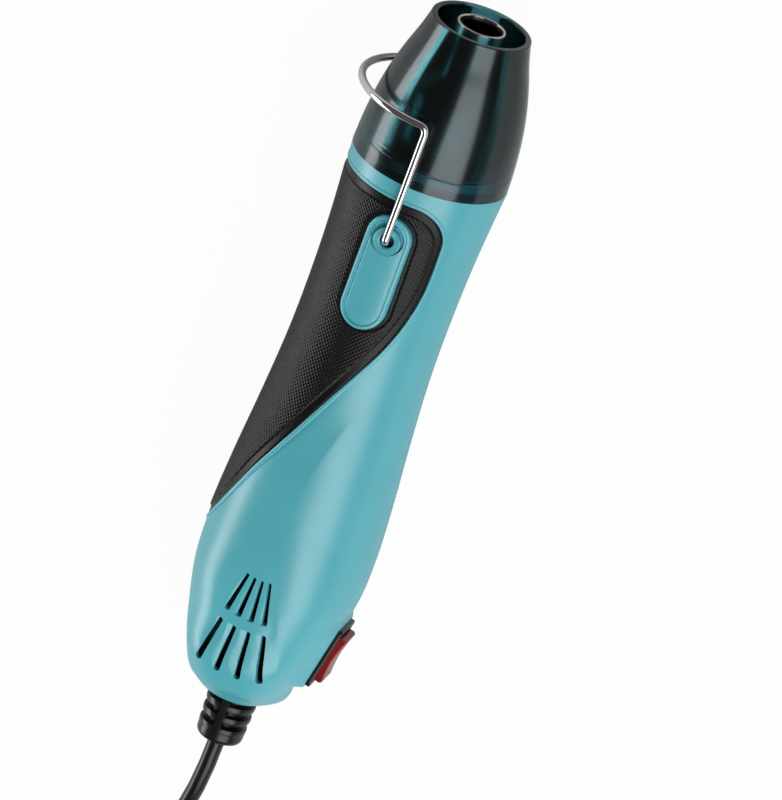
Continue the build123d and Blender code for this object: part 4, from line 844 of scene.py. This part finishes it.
def shroud():
    """The tinted shroud: a flared wall with a fine line near its foot and a rounded rim."""
    shape = [(0, 14.1), (6, 15.65), (12.9, 17.87), (20, 19.75), (26.7, 20.99), (35, 21.9), (43, 22.28)]
    a = np.sort(np.concatenate([np.linspace(0, 43, 60), np.linspace(37.45, 38.55, 12)]))
    # never more than 0.55 outside the straight profile
    most = np.interp(a, [0, 12.9, 26.66, 43], [14.1, 17.87, 20.99, 22.3]) + 0.55
    r = np.minimum(curve_through(shape, a)[:, 0], most)
    r = r - 0.14 * np.exp(-((a - 38.0) / 0.2) ** 2)
    keep = a > 0.5
    outside = np.column_stack([a[keep], r[keep]])
    wall = 1.8
    inside = outside[::-1] - np.array([0, wall])
    lip = r[keep][0]
    rim = [(0.42, lip - wall), (0.2, lip - wall + 0.06), (0.05, lip - wall + 0.2), (0.0, lip - wall + 0.42),
           (0.0, lip - 0.42), (0.05, lip - 0.2), (0.2, lip - 0.06), (0.42, lip)]
    profile = [*rim, *outside.tolist(), *inside.tolist()]
    return lathe("shroud", profile, TINTED, slot="tinted_shroud", replaces=["nozzle_shroud"], segments=160)


def barrel():
    """The outlet tube with its wider heating chamber, and a near-black lining in its mouth."""
    outside = [(0.35, 6.95), (8, 6.95), (14.6, 6.97), (15.6, 7.15), (16.6, 7.8), (20.4, 11.7), (21.4, 12.45),
               (22.6, 12.7), (30, 12.7), (47.0, 12.7), (47.0, 14.6), (47.6, 14.6), (47.6, 12.7), (60, 12.7)]
    inside = [(60, 11.9), (22.6, 11.9), (21.6, 11.7), (16.0, 6.6), (14.8, 6.15), (0.4, 6.15)]
    rim = arc((0.4, 6.55), 0.4, 270, 90, 9)
    lathe("barrel", [*rim[1:-1], *outside, *inside], STEEL, slot="barrel_steel", replaces=["heat_barrel"])
    lathe("barrel_lining", [(1.4, 6.14), (15.0, 6.14), (15.0, 5.5), (15.0, 5.2), (14.0, 5.9), (1.4, 5.95)], NEAR_BLACK,
          slot="barrel_steel", segments=96)


# -------- switch

RECT_STEPS = 8    # points on each corner


def rounded_rect(length, width, radius):
    out = []
    for sa, sb, start in ((1, 1, 0), (-1, 1, 90), (-1, -1, 180), (1, -1, 270)):
        for t in np.radians(np.linspace(start, start + 90, RECT_STEPS)):
            out.append((sa * (length / 2 - radius) + radius * math.cos(t),
                        sb * (width / 2 - radius) + radius * math.sin(t)))
    return np.array(out)


def on_pad(points, height):
    """Rows of (length, width) on the pad, at the switch's share and a height over the face."""
    return np.array([pad_point(a, b, height) for a, b in points * SWITCH_SHARE])


def switch():
    """The switch's frame: its body under the pad, the bezel and the pocket of the rocker."""
    # (length, width, corner radius, height)
    levels = [(20.0, 13.0, 0.8, -11.0), (20.0, 13.0, 0.8, 0.0), (22.4, 15.0, 1.6, 0.0), (22.4, 15.0, 1.6, 0.85),
              (22.2, 14.8, 1.5, 1.15), (21.7, 14.3, 1.3, 1.3), (19.4, 12.0, 0.9, 1.3), (18.9, 11.5, 0.8, 1.1),
              (18.6, 11.2, 0.7, 0.6), (18.6, 11.2, 0.7, -4.6)]
    points = np.concatenate([on_pad(rounded_rect(a, b, r), h) for a, b, r, h in levels])
    n = 4 * RECT_STEPS
    faces = grid_faces(len(levels), n, False, True)
    faces.append(tuple(range(n - 1, -1, -1)))
    faces.append(tuple(range((len(levels) - 1) * n, len(levels) * n)))
    return piece("switch_frame", points, faces, BLACK, slot="black_plastic", replaces=["switch_body"], sharp=40)


def rocker():
    """The rocker: two dished halves that meet in a low valley."""
    length, width = 16.9 * SWITCH_SHARE, 10.5 * SWITCH_SHARE
    na, nb = 49, 17
    points = []
    base = 1.3
    for a in np.linspace(-1, 1, na):
        for b in np.linspace(-1, 1, nb):
            h = 1.45 + 0.75 * abs(a) ** 1.5 - 0.16 * (1 - abs(b) ** 2.2) * math.sin(math.pi * min(abs(a), 1))
            # rounded ends and sides
            ea, eb = 1 - abs(a), 1 - abs(b)
            h -= 0.45 * max(0, 1 - ea * length / 2 / 0.55) ** 2 + 0.35 * max(0, 1 - eb * width / 2 / 0.45) ** 2
            points.append(pad_point(a * length / 2, b * width / 2, base + h))
    faces = grid_faces(na, nb)
    rim = [i * nb for i in range(na)] + [(na - 1) * nb + j for j in range(1, nb)] \
        + [i * nb + nb - 1 for i in range(na - 2, -1, -1)] + [j for j in range(nb - 2, 0, -1)]
    start = len(points)
    # the skirt narrows down into the pocket
    for share, height in ((0.985, base - 0.5), (0.52, base - 3.6)):
        for index in rim:
            rel = points[index] - PAD_O
            points.append(pad_point(float(rel @ PAD_X) * share, float(rel[2]), height))
    k = len(rim)
    for i in range(k):
        j = (i + 1) % k
        faces.append((rim[i], rim[j], start + j, start + i))
        faces.append((start + i, start + j, start + k + j, start + k + i))
    faces.append(tuple(range(start + k, start + 2 * k)))
    return piece("rocker_button", points, faces, RED, body="rocker", slot="red_plastic", replaces=["rocker"],
                 sharp=50)


# -------- strain relief

def strain_relief():
    """A tapered boot with three rows of slots each side of a spine, and a plain tip."""
    segments = 96
    start, tip = SEAM + HOUSING, NOSE * 2
    pitch, slot, depth = 3.6, 1.9, 2.0
    tip_round = 1.6
    stations = np.concatenate([np.linspace(start - 4.4, start - 2.45, 3), np.linspace(start - 2.4, start, 3),
                               np.linspace(start + 0.02, tip - tip_round, 150)])
    t = np.linspace(0, 2 * math.pi, segments, endpoint=False)
    # the spines run along the top and the bottom
    off = np.abs(t % math.pi - math.pi / 2) * 7.0
    rows = []

    def ring(along, radius):
        rows.append(np.column_stack([np.full(segments, along), radius * np.cos(t), radius * np.sin(t)]))

    for a in stations:
        if a <= start:
            # the flange inside the shells, and the neck in their hole
            ring(a, 8.2 if a < start - 2.42 else 6.2)
            continue
        r = 7.1 - 0.6 * (a - start) / (tip - start)
        radius = np.full(segments, r)
        k = math.floor((a - start - 1.7) / pitch)
        if 0 <= k < 3:
            f = ((a - start - 1.7) / pitch - k) * pitch
            if f < slot:
                lip = min(step(0, 0.28, f), 1 - step(1.6, slot, f))
                radius = r - depth * lip * step(1.1, 1.6, off)
            radius = radius + 0.12 * math.sin(math.pi * min(max((f - slot) / (pitch - slot), 0), 1))
        ring(a, radius)
    for q in np.linspace(0, math.pi / 2, 8)[1:]:
        ring(tip - tip_round + tip_round * math.sin(q), 6.5 - tip_round + tip_round * math.cos(q))
    # the tip's face, and the bore of the cord
    for a, r in ((tip, 2.6), (tip - 0.2, 2.45), (start - 4.4, 2.45)):
        ring(a, r)
    return piece("cord_boot", np.concatenate(rows), grid_faces(len(rows), segments, True, True), CORD,
                 slot="black_rubber", replaces=["strain_relief"], sharp=40)


# -------- cord

def cord():
    """The cord from the boot down to the floor, into its coil in two layers, and out to the plug."""
    exit_point = np.array([-NOSE, AXIS_Y, AXIS_Z])
    # (back, to the grip's side, up) from the exit
    route = [(0.0, 0.0, 0.0), (28.0, 0.0, 0.0), (50.0, 18.0, -22.75), (70.0, 38.0, -22.75), (95.4, 38.0, -22.75)]
    points = [exit_point + np.array([-back, side, up]) for back, side, up in route]
    pitch, turns, middle, per_turn = CORD_SIZE + CORD_GAP, 8, 27.0, 16
    reach = middle + pitch * turns / 4
    centre = points[-1] - np.array([0, reach, 0])
    seat, plug_half = 0.3, 7.0
    level = 2 * CORD_SIZE + CORD_GAP + seat + plug_half - CORD_SIZE / 2    # the plug's middle over the lower turns
    grow = 1 / math.cos(math.pi / per_turn) ** 0.5    # the curve runs inside its points
    for k in range(1, round(7.5 * per_turn) + 1):
        turn = k / per_turn
        radius = (reach - pitch * min(turn, turns - turn)) * grow
        climb = min(max((turn - turns / 2) / 0.5 + 0.5, 0), 1)
        ramp = max((turn - 7.0) / 0.5, 0)
        height = pitch * (1 - math.cos(math.pi * climb)) / 2
        height += 0.7 * (level - pitch) * (1 - math.cos(math.pi * ramp)) / 2
        angle = math.pi / 2 + 2 * math.pi * turn
        points.append(centre + np.array([radius * math.cos(angle), radius * math.sin(angle), height]))
    tail = points[-1] + np.array([21.0, 21.0, 0])
    points.append(np.array([tail[0] - 8.0, points[-1][1] + 1.5, centre[2] + level - 1.6]))
    points.append(np.array([tail[0], tail[1] - 10.0, centre[2] + level]))
    points.append(np.array([tail[0], tail[1], centre[2] + level]))
    data = bpy.data.curves.new("power_lead", "CURVE")
    data.dimensions = "3D"
    data.bevel_depth = CORD_SIZE / 2 * MM
    data.bevel_resolution = 6
    data.resolution_u = 6
    data.use_fill_caps = True
    spline = data.splines.new("NURBS")
    spline.points.add(len(points) - 1)
    for target, p in zip(spline.points, points):
        target.co = (*(np.asarray(p) * MM), 1)
    spline.order_u = 3
    spline.use_endpoint_u = True
    data.materials.append(CORD)
    o = add_object("power_lead", data)
    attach(o, "housing")
    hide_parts("power_cord", "cord_coil")
    return o


# -------- the kept inner pieces

KEPT = {
    "case_screws": MACHINE, "barrel_holder": HOLDER, "mica_sleeve": MICA, "mica_cross": MICA,
    "heater_coil": HEATER, "thermal_fuse": FUSE, "motor_mount": HOLDER, "motor_screws": MACHINE,
    "motor_can": MACHINE, "motor_end_cap": BLACK, "motor_magnets": MAGNET, "motor_armature": ARMATURE,
    "motor_shaft": MACHINE, "fan_impeller": BLACK, "rectifier_board": BOARD, "rectifier_diodes": BLACK,
    "motor_tabs": TINNED, "heater_leads": SLEEVE, "supply_leads": SLEEVE, "switch_terminals": TINNED,
    "cord_sheath": CORD, "cord_clamp": BLACK, "clamp_screws": MACHINE, "plug_body": CORD, "plug_blades": TINNED,
}
for node, mat in KEPT.items():
    o = frame["nodes"][node]
    o.data.materials.clear()
    o.data.materials.append(mat)

upper = half_shell("shell_upper", False)
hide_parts("upper_shell")
under = half_shell("shell_lower", True)
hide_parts("lower_shell")
for sign, side in ((1, "upper"), (-1, "lower")):
    grip_half("grip_skin_" + side, sign)
    grip_bead("grip_bead_" + side, sign)
    pivot_plate("plate_" + side, sign)
# painted shade: a near-black sheet behind the lower vents
vent_shade_sheet()
stand()
shroud()
barrel()
switch()
rocker()
strain_relief()
cord()

# -------- stage, light and camera

# the floor glows near white where the camera sees it, and is a plain diffuse floor for the rest of the light
floor_mat, links, mix = mixed_material("floor")
diffuse = add_node(floor_mat, "BsdfDiffuse", Color=(0.86, 0.86, 0.86, 1))
glow = add_node(floor_mat, "Emission", Color=(1, 1, 1, 1), Strength=1.0)
path = add_node(floor_mat, "LightPath")
most, share = add_node(floor_mat, "Math"), add_node(floor_mat, "Math")
most.operation, share.operation = "MAXIMUM", "MULTIPLY"
share.inputs[1].default_value = 0.96
links.new(path.outputs["Is Camera Ray"], most.inputs[0])
links.new(path.outputs["Is Transmission Ray"], most.inputs[1])
links.new(most.outputs[0], share.inputs[0])
links.new(share.outputs[0], mix.inputs["Fac"])
links.new(diffuse.outputs["BSDF"], mix.inputs[1])
links.new(glow.outputs["Emission"], mix.inputs[2])
FLOOR_HALF, FLOOR_Z = 4, -0.0004    # metres
floor_mesh = bpy.data.meshes.new("floor")
floor_mesh.from_pydata([(x * FLOOR_HALF, y * FLOOR_HALF, FLOOR_Z) for x, y in ((-1, -1), (1, -1), (1, 1), (-1, 1))],
                       [], [(0, 1, 2, 3)])
floor_mesh.materials.append(floor_mat)
floor = add_object("floor", floor_mesh)

world_shade = bpy.data.worlds.new("studio")
bpy.context.scene.world = world_shade
world_shade.use_nodes = True
background = world_shade.node_tree.nodes["Background"]
background.inputs["Color"].default_value = (1, 1, 1, 1)
background.inputs["Strength"].default_value = 0.08

# the point that the camera looks at, in metres, and its directions, fitted to the measures of the photo
AIM = Vector((-0.00032, -0.01345, 0.02287))
RIGHT = Vector((0.3227, -0.8997, -0.2937)).normalized()
UP = Vector((0.8664, 0.4058, -0.2911)).normalized()
BACK = RIGHT.cross(UP).normalized()
UP = BACK.cross(RIGHT).normalized()
CAMERA_DISTANCE, LENS, SENSOR = 5.4495, 900, 36


def placed(side, up, back, place):
    """The matrix of an object from its three directions and its place."""
    return Matrix((
        (side[0], up[0], back[0], place[0]), (side[1], up[1], back[1], place[1]),
        (side[2], up[2], back[2], place[2]), (0, 0, 0, 1)))


def lamp(name, toward, distance, size, power):
    """A soft box that faces the tool, with its first side along the tool."""
    data = bpy.data.lights.new(name, "AREA")
    data.shape = "RECTANGLE"
    data.size, data.size_y = size
    data.energy = power
    back = Vector(toward).normalized()
    side = (Vector((1, 0, 0)) - back * back.x).normalized()
    add_object(name, data).matrix_world = placed(side, back.cross(side), back, AIM + back * distance)


lamp("key_right", (-0.25, -0.57, 0.78), 1.0, (1.4, 0.8), 10.0)
lamp("strip_left", (-0.25, 0.95, 0.22), 0.95, (1.2, 0.34), 6.0)

camera_data = bpy.data.cameras.new("camera")
camera_data.sensor_fit = "VERTICAL"
camera_data.sensor_height = SENSOR
camera_data.sensor_width = SENSOR
camera_data.lens = LENS
camera_data.clip_start = 0.5
camera = add_object("camera", camera_data)
camera.matrix_world = placed(RIGHT, UP, BACK, AIM + BACK * CAMERA_DISTANCE)
bpy.context.scene.camera = camera
bpy.context.scene.view_settings.view_transform = "Standard"
